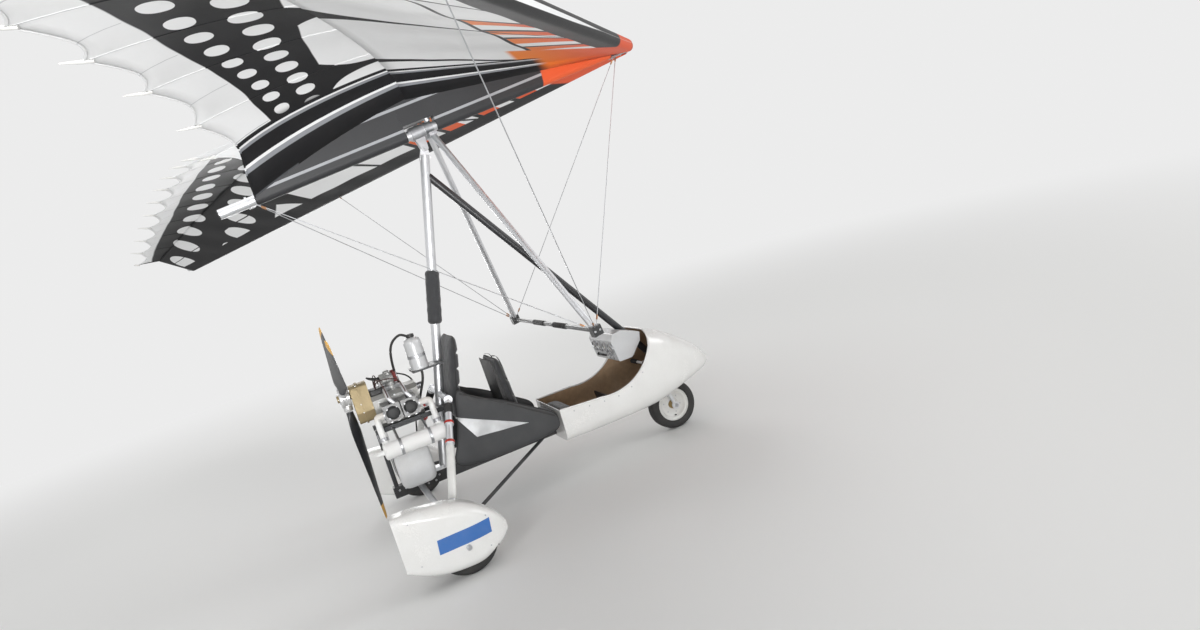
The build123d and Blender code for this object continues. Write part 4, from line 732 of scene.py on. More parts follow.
def apply_modifiers(piece):
    """Replace the piece's mesh by its modified mesh."""
    bpy.context.view_layer.update()
    done = bpy.data.meshes.new_from_object(piece.evaluated_get(bpy.context.evaluated_depsgraph_get()))
    piece.modifiers.clear()
    piece.data = done


def cut_away(piece, shell):
    """Take a closed shell's volume out of a piece."""
    cutter = make_piece("cutter", shell)
    tool = piece.modifiers.new("cut", "BOOLEAN")
    tool.operation, tool.solver, tool.object = "DIFFERENCE", "EXACT", cutter
    apply_modifiers(piece)
    bpy.data.objects.remove(cutter)


def box_shell(low, high):
    """Shell of a box between two corners."""
    corners = np.array([[x, y, z] for x in (0, 1) for y in (0, 1) for z in (0, 1)])
    faces = [[0, 1, 3, 2], [4, 6, 7, 5], [0, 4, 5, 1], [2, 3, 7, 6], [0, 2, 6, 4], [1, 5, 7, 3]]
    return low + corners * (high - low), faces


def slab(front, back):
    """Shell between two grids of points: both faces and the four edges."""
    shells = [(sheet.reshape(-1, 3), grid_faces(*sheet.shape[:2], False)) for sheet in (front, back)]
    for edge in ((slice(None), 0), (slice(None), -1), (0, slice(None)), (-1, slice(None))):
        strip = np.stack([front[edge], back[edge]])
        shells.append((strip.reshape(-1, 3), grid_faces(2, strip.shape[1], False)))
    return joined(*shells)


def walled(piece, thickness):
    """Give a sheet this thickness, inwards."""
    skin = piece.modifiers.new("wall", "SOLIDIFY")
    skin.thickness, skin.offset = thickness, -1.0
    return skin


def moulded(name, sections, place, middle_y, wall, steps, lining, *cuts):
    """Hollow white moulding through sections, lined inside, less the shells cut out."""
    rings = rounded_rings(drawn_through(sections, steps), place, middle_y)
    piece = make_piece(name, closed_tube(rings), 180)
    piece.data.materials.append(white_gel)
    piece.data.materials.append(lining)
    walled(piece, wall).material_offset = 1
    apply_modifiers(piece)
    for cut in cuts:
        cut_away(piece, cut)
    return smoothed(piece, 35)


side_line = drawn_through(SPAT_SECTIONS, 300)
for side, name in SIDES:
    middle, out = side * WHEEL_Y, (0, side, 0)
    wheel_room = box_shell(at(-215, middle - 62, -100), at(160, middle + 62, 150))
    inner, outer = sorted((side * (WHEEL_Y - 112), side * (WHEEL_Y - 45)))
    arm_room = box_shell(at(-120, inner, -100), at(110, outer, 520))
    spat = moulded(name + "_spat", SPAT_SECTIONS, 0, middle, 0.005, 44, dark_tube, wheel_room, arm_room)
    finish_piece(spat, "trike", "white_shell", None, "spats")
    # Panel: a slanted four-sided sheet laid 1.4 mm proud of the outer face
    u, v = np.meshgrid(np.linspace(0, 1, 9), np.linspace(0, 1, 7))
    x, z = -152 + 294 * u + 8 * v, 197 + 80 * v
    reach = np.interp(x, side_line[:, 0], side_line[:, 1])
    front, back = (at(x, middle + side * (reach + lift), z) for lift in (1.4, -2.8))
    put(name + "_spat_panel", slab(front, back), "trike", "white_shell", blue_panel, smooth=40)
    nut, spots = [(at(0, middle + side * 106, WHEEL_HEIGHT), out)], []
    for station, level in ((-255, 175), (-255, 415), (115, 130), (135, 295)):
        reach = np.interp(station, SPAT_SECTIONS[:, 0], SPAT_SECTIONS[:, 1]) - 0.6
        spots.append((at(station, middle + side * reach, level), out))
    put(name + "_spat_bolts", [hex_heads(nut, 16), hex_heads(spots, 5.5)], "trike", "steel", plated_steel)

# Suspension legs: silver telescopic tubes with red anodised clamp collars, a white lower
# tube over the last half, and a ribbed rubber boot at the top.
red_anodised = finished(
    "red_anodised", (0.50, 0.035, 0.025), 0.30, 0.6, (0.8, 0.6, 0.5), 0.4, 0.2, 400.0, 0.0001
)
COLLAR = [(-1, 20), (-1, 27), (2, 28.8), (15.5, 28.8), (18.5, 27), (18.5, 20)]
row = np.arange(17)
boot = np.stack([row * 4, 22.5 + 3.5 * (row % 2)], 1)
collars, sleeves, boots = [], [], []
for side, _ in SIDES:
    top = on_mast(0.835, (0, side * 0.282, 0))
    way = at(0, side * 765, 339) - top
    end = np.linalg.norm(way) / MM
    collars += [turned(top + way * share, way, COLLAR, 36) for share in (0.22, 0.40)]
    tube = [(0, 20.5), (0, 23.6), (4, 24.6), (end * 0.46, 24.6), (end * 0.465, 23.6), (end * 0.465, 20.5)]
    sleeves.append(turned(top + way * 0.45, way, tube, 36))
    boots.append(turned(top + way * 0.05, way, boot, 28))
put("leg_collars", collars, "trike", "steel", red_anodised)
put("leg_sleeves", sleeves, "trike", "white_shell", white_enamel)
put("leg_boots", boots, "trike", "black_pad", rubber)

# Engine: a flat four of sand-cast and machined aluminium, oil-stained where its halves
# meet, with finned barrels, black rocker covers, pushrod tubes below, an inlet pipe to
# each head, and black ignition leads in a loose fan over the top.
engine_casting = finished(
    "engine_casting", (0.40, 0.40, 0.39), 0.48, 0.75, PALE, 0.5, 0.40, 420.0, 0.0006, shade=0.2
)
fin_casting = finished(
    "fin_casting", (0.30, 0.30, 0.30), 0.55, 0.7, (0.7, 0.7, 0.7), 0.5, 0.45, 420.0, 0.0006, shade=0.25
)
gold_casting = finished(
    "gold_casting", (0.33, 0.26, 0.145), 0.50, 0.8, (0.60, 0.55, 0.42), 0.4, 0.22, 380.0, 0.0005, shade=0.15
)
moulded_black = finished("moulded_black", (0.016, 0.016, 0.017), 0.48, 0.0, SCUFF, 0.3, 0.08, 260.0, 0.0002)
ignition_lead = finished("ignition_lead", (0.045, 0.012, 0.010), 0.45, 0.0, SCUFF, 0.0, 0.25, 300.0, 0.0001)
dress(engine_casting, "crankcase")
dress(fin_casting, "cylinders")
dress(gold_casting, "gearbox")
ENGINE_Z = 870
CUP = [(0, 40.5), (4, 40.9), (6, 37.5), (22, 36.5), (30, 32.5), (32.8, 24), (33.5, 12), (33.7, 0)]
PLUG_CAP = [(-1, 7), (6, 8.5), (22, 8.5), (30, 7.2), (34, 4.5)]
cups, plugs, leads, pushrods, inlets, engine_bolts = [], [], [], [], [], []
for side, _ in SIDES:
    out = (0, side, 0)
    for order, x in enumerate((6, -100)):
        cups.append(spun(at(x, side * 262, ENGINE_Z), out, CUP, 40))
        for turn in np.radians((45, 135, 225, 315)):
            spot = at(x + 38.5 * np.cos(turn), side * 266.5, ENGINE_Z + 38.5 * np.sin(turn))
            engine_bolts.append((spot, out))
        # Spark plug cap on top of the head, its lead back to the ignition box
        plugs.append(spun(at(x, side * 232, ENGINE_Z + 52), (0, side * 0.25, 1), PLUG_CAP, 16))
        rise, apart = 30 + 18 * order, 12 * order
        route = [(x, side * 240, ENGINE_Z + 85), (x, side * 244, ENGINE_Z + 115)]
        route += [(x - 10, side * (150 + 20 * order), ENGINE_Z + 150 + rise)]
        route += [(-120 - apart, side * 75, ENGINE_Z + 170 + rise / 2)]
        route += [(-140, side * (30 + apart), ENGINE_Z + 150), (-140, side * (22 + apart), ENGINE_Z + 120)]
        leads.append(led(route, 3.6, 10))
        for tube_x in (x - 22, x + 22):
            tube = [(tube_x, side * 88, ENGINE_Z - 62), (tube_x, side * 218, ENGINE_Z - 58)]
            pushrods.append(led(tube, 8.5, 14, 0))
        route = [(-45 + 20 * (1 - 2 * order), side * 60, ENGINE_Z + 118), (x, side * 105, ENGINE_Z + 128)]
        route += [(x, side * 200, ENGINE_Z + 110), (x, side * 240, ENGINE_Z + 85)]
        route.append((x + 22, side * 242, ENGINE_Z + 48))
        inlets.append(led(route, 12.5, 18))
    for x, z in ((60, 930), (60, 810), (-150, 930), (-150, 810), (-50, 944)):
        engine_bolts.append((at(x, side * 95, z), out))
    for z in (820, 920):
        engine_bolts.append((at(95, side * 50, z), ONWARD))
put("rocker_cups", cups, "trike", "gearbox_casting", moulded_black, "rocker_covers", smooth=25)
put("plug_caps", plugs, "trike", "black_plastic", moulded_black)
put("ignition_leads", leads, "trike", "black_plastic", ignition_lead, smooth=60)
put("pushrod_tubes", pushrods, "trike", "steel", plated_steel)
put("inlet_pipes", inlets, "trike", "engine_casting", silver_tube, smooth=60)
# Split flange of the gearbox with its ring of bolts; the outline is the casting's own
GEARBOX_CORNERS = np.array([(-62, 830), (62, 830), (78, 900), (58, 1070), (-58, 1070), (-78, 900)]) * MM
GEARBOX_LENGTH, FLANGE_CORNER, FLANGE_HALF = 0.105, 0.028, 0.006
gear_middle = np.array((0.0, 0.950))
gear_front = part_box("gearbox")[1].x
spread = gear_middle + (GEARBOX_CORNERS - gear_middle) * (1.085, 1.055)
flange_line, flange_spots = [], []
share = np.linspace(0, 1, 9)[:, None]
for before, corner, after in zip(np.roll(spread, 1, 0), spread, np.roll(spread, -1, 0)):
    inward, onward = unit(before - corner), unit(after - corner)
    half = np.arccos(inward @ onward) / 2
    middle = corner + unit(inward + onward) * FLANGE_CORNER / np.sin(half)
    start, stop = (corner + way * FLANGE_CORNER / np.tan(half) - middle for way in (inward, onward))
    flange_line.append(middle + unit(start * (1 - share) + stop * share) * FLANGE_CORNER)
    flange_spots.append(middle + unit(corner - middle) * (FLANGE_CORNER - 0.0035))
flange_line = np.concatenate(flange_line)
flange_x = gear_front - GEARBOX_LENGTH * 0.55
flange = [np.insert(flange_line, 0, flange_x + step, axis=1) for step in (-FLANGE_HALF, FLANGE_HALF)]
put("gearbox_flange", closed_tube(np.stack(flange)), "trike", "gearbox_casting", gold_casting, smooth=30)
flange_spots += [(y, gear_middle[1]) for y in (-0.073, 0.073)]
engine_bolts += [((flange_x - FLANGE_HALF, y, z), -ONWARD) for y, z in flange_spots]
cover_spots = GEARBOX_CORNERS * (0.72, 1) + (gear_middle - GEARBOX_CORNERS) * (0, 0.16)
engine_bolts += [((gear_front - GEARBOX_LENGTH, y, z), -ONWARD) for y, z in cover_spots]
put("engine_bolts", hex_heads(engine_bolts, 6), "trike", "steel", plated_steel)
# Case ribs, sump, starter and ignition box stand on the crankcase
ribs = []
for x in (-155, -100, -45, 10, 62):
    for side, _ in SIDES:
        low = at(x - 3, side * 95 - 2, 805)
        ribs.append(box_shell(low, low + np.array((6, 7, 130)) * MM))
ribs.append(spun(at(-50, 0, 770.5), -UPWARD, [(0, 62), (18, 60), (24, 52)], 32, 3.5))
put("case_ribs", ribs, "trike", "engine_casting", engine_casting)
STARTER = [(0, 24), (2.52, 27.2), (12.6, 27.2), (15.12, 22.4), (46.2, 22.4), (49.56, 17.6)]
put("starter_motor", spun(at(96, 40, 925), ONWARD, STARTER), "trike", "engine_casting", plated_steel)
box = spun(at(-140, 0, 970), UPWARD, [(0, 52), (4, 56), (30, 56), (36, 50)], 32, 6.0)
put("ignition_box", box, "trike", "black_plastic", moulded_black, smooth=40)

# Carburettors: two cast bodies with float bowls, each behind a round pleated filter of
# red cotton in a chromed end cap, as the open engine carries them.
filter_cotton = finished(
    "filter_cotton", (0.16, 0.022, 0.020), 0.7, 0.0, (0.2, 0.1, 0.1), 0.0, 0.45, 200.0, 0.0004, shade=0.25
)
BOWL = [(0, 30), (6, 30), (8, 22), (30, 22), (34, 27), (50, 27), (52, 18)]
THROAT = [(-50, 24), (-46, 27), (-20, 27), (-18, 33), (18, 33), (20, 26), (26, 26)]
angle = np.linspace(0, 2 * np.pi, 96, endpoint=False)
pleat = 30.5 + 1.2 * np.cos(angle * 24)
carbs, filters, caps = [], [], []
for side, _ in SIDES:
    carbs.append(spun(at(-45, side * 48, 970), UPWARD, BOWL))
    carbs.append(spun(at(-45, side * 48, 1044), ONWARD, THROAT))
    carbs.append(spun(at(-45, side * 48, 1064), UPWARD, [(0, 20), (16, 20), (20, 14)], 28))
    x = np.linspace(-21, 3, 9)[:, None]
    filters.append(closed_tube(at(x, side * 48 + pleat * np.cos(angle), 1044 + pleat * np.sin(angle))))
    caps.append(spun(at(3, side * 48, 1044), ONWARD, [(-2, 33), (1, 33.5), (2, 30)]))
put("carburettor_bodies", carbs, "trike", "engine_casting", engine_casting, "carburettors", smooth=30)
put("air_filters", filters, "trike", "black_plastic", filter_cotton, smooth=40)
put("filter_caps", caps, "trike", "steel", plated_steel)

# Exhaust: white ceramic-coated muffler drum with rolled end seams and stainless clamp
# straps; the pipes rise from it to the heads in two smooth bends, scorched near them.
ceramic_white, tree, shader = new_material("ceramic_white")
life, height = effect(tree, grain, Scale=260.0, Broad=12.0)
scorch = life.line(0.10, split(place_in(tree))[2]).step(0.86, 0.99) * 0.7
white = life.mix((0.78, 0.78, 0.77), (0.84, 0.84, 0.83))
burnt = life.mix((0.30, 0.22, 0.15), (0.50, 0.42, 0.33))
tone = effect(tree, dusting, Amount=0.10, Scale=7.0)[0].mix(scorch.mix(white, burnt), DUST)
surfaced(shader, tone, life.line(0.2, 0.38), height, 0.0002, 0.5)
DRUM = [(-5, 13.5), (-34, 13.5), (-34, 15.8), (0, 15.8), (1, 30), (4, 44), (10, 50.5), (14, 51.8), (17, 50.5)]
DRUM += [(373, 50.5), (376, 51.8), (380, 50.5), (386, 44), (389, 30), (390, 12)]
drum = spun(at(-225, -290, 668), ONWARD, DRUM, 48)
put("muffler_drum", drum, "trike", "exhaust_steel", ceramic_white, "muffler", smooth=30)
pipes, clamps, springs = [], [], []
for station, port in ((-200, -149), (128, 55)):
    way = np.sign(port - station)
    foot, knee, head = at(station, -282, 688), at(station, -240, 832), at(port, -240, 870)
    straight = [foot, foot + (knee - foot) * 0.10, knee * 0.45 + foot * 0.55, knee - (0, 0, 0.012)]
    bent = [knee + (0, 0, 0.038), head - (way * 0.020, 0, 0), head]
    pipes.append(line_shell(eased(straight + bent), 18.8, 28, lie=ACROSS))
    clamps.append(spun(head - (way * 0.0065, 0, 0), (way, 0, 0), [(0, 27), (6, 27)], 32, 2.6))
    slip = [(0, 21.5), (2, 22.6), (20, 22.6), (22, 21.5)]
    clamps.append(spun(foot + (knee - foot) * 0.26, knee - foot, slip))
    t = np.linspace(0, 1, 97)
    coil_x, coil_y = 3.8 * np.cos(20 * np.pi * t), 3.8 * np.sin(20 * np.pi * t)
    for shift in (-26, 26):
        path = at(station + shift + coil_x, -262 + 12 * t + coil_y, 722 + 50 * t)
        springs.append(line_shell(path, 1.1, 6))
for station in (-129, 51):
    band = [(0, 51.6), (1, 52.2), (17, 52.2), (18, 51.6)]
    clamps.append(spun(at(station, -290, 668), ONWARD, band, 48))
put("exhaust_bends", pipes, "trike", "exhaust_steel", ceramic_white, "exhaust_pipes", smooth=60)
put("exhaust_clamps", clamps, "trike", "steel", plated_steel, smooth=30)
put("exhaust_springs", springs, "trike", "steel", plated_steel, smooth=60)

# Propeller: three composite blades with a hard gloss lacquer, near black, yellow at the
# tips, clamped in a machined white-anodised hub with a bolt ring on its rear face.
blade_lacquer, tree, shader = new_material("blade_lacquer")
life, height = effect(tree, grain, Scale=200.0, Broad=8.0)
along, chord, _ = split(add_node(tree, "ShaderNodeUVMap", uv_map="blade").outputs[0])
dark = life.mix((0.010, 0.011, 0.013), (0.030, 0.031, 0.035))
scuffed = chord.step(0.93, 0.99) * along.step(0.25, 0.5) * life.step(0.40, 0.60) * 0.7
tone = scuffed.mix(along.step(0.879, 0.881).mix(dark, (0.80, 0.42, 0.03)), (0.30, 0.29, 0.27))
surfaced(shader, tone, life.line(0.16, 0.36), height, 0.0001, 0.4)
shader.inputs["Coat Weight"].default_value = 0.15
hub_metal = finished(
    "hub_metal", (0.66, 0.66, 0.66), 0.30, 0.6, (0.85, 0.85, 0.85), 0.4, 0.15, 420.0, 0.0001, shade=0.06
)
# Blade sections: share of the radius, chord, thickness, pitch in degrees
BLADE_SECTIONS = np.array(
    [
        (0.118, 0.042, 0.041, 50.0),
        (0.16, 0.056, 0.034, 48.0),
        (0.25, 0.088, 0.025, 40.0),
        (0.34, 0.104, 0.019, 33.0),
        (0.62, 0.098, 0.013, 22.0),
        (0.86, 0.078, 0.009, 16.0),
        (0.965, 0.060, 0.007, 14.5),
        (1.0, 0.030, 0.005, 14.0),
    ]
)
PROP_RADIUS, FIRST_BLADE, THIRD = 0.812, radians(30), radians(120)
HUB = [(0, 22.2), (0, 58), (3, 62), (20, 62), (24, 56), (38, 56), (42, 62), (58, 62), (62, 57), (62, 22.2)]
PROP_Z = 1014
hub_centre = at(-327, 0, PROP_Z)
angle = np.linspace(0, 2 * np.pi, 40, endpoint=False)[:, None]
wide, thin = np.cos(angle), np.sin(angle)
rows = drawn_through(BLADE_SECTIONS, 60)
rows[-1] = BLADE_SECTIONS[-1]
share, chord, thick, pitch = rows.T[:, :, None, None]
root = np.clip((0.20 - share) / 0.08, 0, 1)
foil = thin * (root + (1 - root) * (0.55 + 0.45 * np.abs(thin)) * (1 + 0.25 * wide))
foils, hub = [], [hoop(at(-296, 0, PROP_Z), ACROSS, UPWARD, HUB, 64)]
for turn in FIRST_BLADE + THIRD * np.arange(3):
    out = np.array((0, -np.cos(turn), np.sin(turn)))
    chord_way = np.sin(np.radians(pitch)) * ONWARD + np.cos(np.radians(pitch)) * np.cross(ONWARD, out)
    section = (chord_way * wide * chord + np.cross(out, chord_way) * foil * thick) / 2
    foils.append(closed_tube(hub_centre + share * PROP_RADIUS * out + section))
    hub.append(spun(hub_centre, out, [(50, 26.2), (54, 27.5), (84, 27.5), (88, 25.5)], 36))


def blade_map(spots):
    """Share of the radius, and place across the blade's chord."""
    off = spots - hub_centre
    reach, spin = np.hypot(off[:, 1], off[:, 2]), np.arctan2(off[:, 2], -off[:, 1]) - FIRST_BLADE
    spin = spin - np.round(spin / THIRD) * THIRD
    chord = np.interp(reach / PROP_RADIUS, BLADE_SECTIONS[:, 0], BLADE_SECTIONS[:, 1])
    return np.stack([reach / PROP_RADIUS, np.clip(0.5 + reach * np.sin(spin) / chord, 0, 1)], 1)


blades = lay_map(make_piece("blade_foils", joined(*foils), 50), "blade", blade_map)
finish_piece(blades, "propeller", "black_plastic", blade_lacquer, "prop_blades")
put("hub_body", hub, "propeller", "white_rim", hub_metal, "prop_hub", smooth=30)
turns = np.radians(np.arange(0, 360, 60))
spots = [(at(-358, 38 * np.cos(turn), PROP_Z + 38 * np.sin(turn)), -ONWARD) for turn in turns]
put("hub_bolts", hex_heads(spots, 6.5), "propeller", "steel", plated_steel)

# Fuel tank: rotationally moulded grey polythene on the keel, round-shouldered, with two
# moulded strap grooves, webbing straps and a black filler cap. Hoses run from it, and
# from the oil bottle, to the engine.
milky_plastic = finished(
    "milky_plastic", (0.64, 0.65, 0.66), 0.45, 0.0, (0.6, 0.6, 0.6), 0.15, 0.45, 160.0, 0.0004, shade=0.08
)
webbing = finished("webbing", (0.014, 0.014, 0.016), 0.75, 0.0, SCUFF, 0.0, 0.08, 900.0, 0.0004, shade=0.3)
TANK_X, TANK_Z, STRAP_Y = -72, 492.7, 105
row = np.linspace(-1, 1, 41)[:, None]
groove = 4 * np.exp(-(((np.abs(row * 199) - STRAP_Y) / 16) ** 4))
end = np.sqrt(np.clip(1 - np.clip((np.abs(row) - 0.86) / 0.14, 0, 1) ** 2, 0, 1))
half_x, half_z = (half - groove - 30 * (1 - end) for half in (110.8, 122.2))
angle = np.linspace(0, 2 * np.pi, 72, endpoint=False)
stretch = (np.abs(np.cos(angle)) ** 5 + np.abs(np.sin(angle)) ** 5) ** (-1 / 5)
ring_x, ring_z = half_x * np.cos(angle) * stretch, half_z * np.sin(angle) * stretch
tank = closed_tube(at(TANK_X + ring_x, row * 199, TANK_Z + ring_z))
put("tank_moulding", tank, "trike", "tank_plastic", milky_plastic, "fuel_tank", smooth=40)
loop = np.stack([ring_x[20], 0 * angle, ring_z[20]], 1)
straps = []
for side, _ in SIDES:
    path = at(TANK_X, side * STRAP_Y, TANK_Z) + loop * (0.985, 0, 0.987) * MM
    section = ((-14.5, -1), (14.5, -1), (14.5, 2.8), (-14.5, 2.8))
    edges = [path + (ACROSS * y + unit(loop) * lift) * MM for y, lift in section]
    straps.append((np.stack(edges, 1).reshape(-1, 3), grid_faces(72, 4, True, True)))
put("tank_straps", straps, "trike", "seat_cloth", webbing)
filler = spun(at(-150, -150, 598), (-0.35, 0, 1), [(0, 26), (14, 26), (15, 31), (30, 31), (33, 27)])
put("filler_cap", filler, "trike", "black_plastic", moulded_black)
FUEL_HOSE = [(20, 130, 605), (35, 135, 660), (60, 150, 760), (115, 125, 900), (90, 85, 1000), (0, 60, 1052)]
FUEL_HOSE += [(-20, 52, 1050)]
OIL_FEED = [(150, -105, 1050), (150, -135, 1020), (135, -128, 965), (110, -75, 900), (93, -60, 860)]
OIL_RETURN = [(128, -100, 1265), (90, -100, 1290), (20, -70, 1240), (0, -12, 1100), (10, 0, 968)]
BALANCE = [(-95, -48, 1048), (-150, -48, 1070), (-175, -20, 1090), (-150, 20, 1070), (-95, 48, 1048)]
hoses = ((FUEL_HOSE, 4.8, 12), (OIL_FEED, 7.8, 14), (OIL_RETURN, 7.8, 14), (BALANCE, 5.5, 12))
put("engine_hoses", [led(*hose) for hose in hoses], "trike", "black_plastic", rubber, smooth=60)

# Oil tank: spun aluminium bottle on its plate against the mast, with a moulded neck, a
# black cap and a steel band clamp round its middle.
silver_shell = finished(
    "silver_shell", (0.58, 0.59, 0.60), 0.34, 0.15, (0.8, 0.8, 0.8), 0.3, 0.25, 200.0, 0.0002,
    coat=0.3, shade=0.06,
)
BOTTLE = [(0, 50), (4, 55), (150, 55.6), (172, 54.5), (190, 47), (200, 34), (204, 24), (205, 0)]
bottle, cap, band = (
    spun(at(150, -105, level), UPWARD, outline, sides)
    for level, outline, sides in (
        (1045, BOTTLE, 48),
        (1249, [(0, 22), (3, 25), (18, 25), (21, 20)], 32),
        (1120, [(0, 56), (1, 56.8), (19, 56.8), (20, 56)], 48),
    )
)
put("oil_bottle", bottle, "trike", "white_shell", silver_shell, "oil_tank", smooth=30)
put("oil_cap", cap, "trike", "black_plastic", moulded_black)
put("oil_band", band, "trike", "steel", plated_steel)

# Pod: glass-fibre nose fairing in glossy white gel coat, open at the top and back with a
# concave rolled rim, cut out below for the nose wheel and lined with tan felt; a row of
# rivets runs below the rim.
tan_felt = finished(
    "tan_felt", (0.33, 0.22, 0.13), 0.85, 0.0, (0.2, 0.2, 0.2), 0.0, 0.25, 700.0, 0.0006, shade=0.2
)
# Sections: distance ahead of the nose axle, half width, bottom, top, corner radius
POD_X = NOSE_AXLE / MM
POD_SECTIONS = np.array(
    [
        (-890, 262, 284, 640, 70),
        (-730, 288, 280, 740, 96),
        (-570, 304, 277, 806, 120),
        (-370, 310, 276, 836, 136),
        (-210, 303, 280, 828, 140),
        (-50, 272, 297, 772, 138),
        (80, 226, 320, 694, 124),
        (190, 172, 339, 612, 98),
        (290, 108, 358, 528, 66),
        (360, 34, 384, 440, 22),
    ]
)
DOME = [(-1, 5.2), (0.6, 5.0), (2.2, 3.6), (2.8, 0)]


def arc_through(start, middle, end, count):
    """Points of the circle through three points, from the first to the last."""
    (ax, az), (bx, bz), (cx, cz) = start, middle, end
    turn = 2 * (ax * (bz - cz) + bx * (cz - az) + cx * (az - bz))
    a, b, c = ax * ax + az * az, bx * bx + bz * bz, cx * cx + cz * cz
    x = (a * (bz - cz) + b * (cz - az) + c * (az - bz)) / turn
    z = (a * (cx - bx) + b * (ax - cx) + c * (bx - ax)) / turn
    angle = np.linspace(np.arctan2(az - z, ax - x), np.arctan2(cz - z, cx - x), count)
    radius = np.hypot(ax - x, az - z)
    return np.stack([x + radius * np.cos(angle), z + radius * np.sin(angle)], 1)


def prism(outline, low_y, high_y):
    """Shell of an (ahead, height) outline drawn out between two distances to port."""
    x, z = np.asarray(outline, float).T
    return closed_tube(np.stack([at(x, y, z) for y in (low_y, high_y)]))


rim_line = arc_through((-600, 493), (-280, 575), (-142, 800), 60)
opening = np.concatenate([[(-950, 506)], rim_line, [(-142, 1000), (-950, 1000)]]) + (POD_X, 0)
strut_foot = on_head(0.340) + np.array((0.102, 0.0, -0.012))
pod_cuts = (
    prism(opening, -500, 500),
    spun(on_head(0.100), on_head(1) - on_head(0), [(0, 201), (151, 201)], 64),
    spun(strut_foot, on_mast(2.189) - strut_foot, [(-300, 34), (1000, 34)], 40),
    box_shell(at(800, -30, 300), at(1440, 30, 330)),
)
pod = moulded("pod_shell", POD_SECTIONS, POD_X, 0, 0.006, 72, tan_felt, *pod_cuts)
finish_piece(pod, "trike", "white_shell", None, "pod")
fine = drawn_through(POD_SECTIONS, 400)


def pod_side(station, level):
    """Half width of the pod at a place along it and a height, round its upper corners."""
    half, high, corner = (np.interp(station, fine[:, 0], fine[:, k]) for k in (1, 3, 4))
    into = np.clip(level - (high - corner), 0, corner)
    return half - corner + np.sqrt(np.clip(corner**2 - into**2, 0, None))


rear_x = np.linspace(-886, -610, 12)
rear = np.stack([rear_x, np.interp(rear_x, (-950, -600), (506, 493))], 1)
x, z = np.concatenate([rear, rim_line[:-2]]).T
starboard = at(POD_X + x, 3 - pod_side(x, z), z)
over = rounded_rings(fine[np.argmin(abs(fine[:, 0] + 142))][None], POD_X, 0)[0]
over = over[over[:, 2] > 0.790]
over = over[np.argsort(over[:, 1])]
over = over[np.abs(over[:, 1]) < abs(starboard[-1, 1]) - 0.012] - (0, 0, 0.003)
lip = np.concatenate([starboard, over, (starboard * (1, -1, 1))[::-1]])
put("pod_lip", line_shell(eased(lip, 1), 6.2, 12, lie=UPWARD), "trike", "white_shell", white_gel, smooth=60)
rivets = []
for station in np.arange(-800, -260, 105):
    rim_x, rim_z = np.append(-950, rim_line[:, 0]), np.append(506, rim_line[:, 1])
    level = np.interp(station, rim_x, rim_z) - 28
    for side, _ in SIDES:
        reach = side * (pod_side(station, level) - 0.3)
        rivets.append(spun(at(POD_X + station, reach, level), (0, side, 0), DOME, 14))
put("pod_rivets", rivets, "trike", "steel", plated_steel)
dress(moulded_black, "pod_formers")

# Instrument pod: silver-white moulding clamped round the front strut. On its rear face
# stand six round instruments: black dials with white marks and needles under chromed
# bezels, then a row of switches and a larger knob.
dress(silver_shell, "instrument_panel")
dial_face, tree, shader = new_material("dial_face")
life = effect(tree, grain, Scale=500.0, Broad=40.0)[0]
dial_place = add_node(tree, "ShaderNodeUVMap", uv_map="dial").outputs[0]
inputs = {0: dial_place, 1: (0.5, 0.5, 0.0)}
centred = add_node(tree, "ShaderNodeVectorMath", inputs, operation="SUBTRACT").outputs[0]
reach = Value(add_node(tree, "ShaderNodeVectorMath", {0: centred}, operation="LENGTH").outputs["Value"])
x, y, _ = split(centred)
spin = number("ARCTAN2", y, x)
short_marks = number("COSINE", spin * 40.0).step(0.80, 0.92) * reach.step(0.395, 0.405)
long_marks = number("COSINE", spin * 8.0).step(0.975, 0.99) * reach.step(0.325, 0.335)
marks = (short_marks | long_marks) * reach.step(0.460, 0.450)
glass_dark = life.mix((0.006, 0.006, 0.007), (0.018, 0.018, 0.020))
link(marks.mix(glass_dark, (0.75, 0.75, 0.72)), shader.inputs["Base Color"])
link(life.line(0.06, 0.06), shader.inputs["Roughness"])
shader.inputs["Coat Weight"].default_value = 1.0
needle_paint = finished(
    "needle_paint", (0.80, 0.78, 0.70), 0.5, 0.0, (0.8, 0.8, 0.8), 0.0, 0.0, 400.0, 0.0001
)
face_low = at(1400, 0, 650)
face_up = unit(at(1378, 0, 800) - face_low)
face_out = np.cross(face_up, ACROSS)
# Dials: across, up the face, radius, needle turn in degrees
DIALS = ((-140, 98, 40, 210), (-48, 98, 40, 120), (48, 98, 40, 40), (140, 98, 40, 250))
DIALS += ((-125, 34, 22, 150), (-72, 34, 22, 80))
DIAL_RIM = 5.5
SWITCH = [(-1, 6.5), (4, 6), (5, 2.8), (14, 2.2), (17, 3)]


def on_face(across, lift, out=0.0):
    """Point across and up the instrument face, in millimetres, or off it."""
    return face_low + (ACROSS * across + face_up * lift + face_out * out) * MM


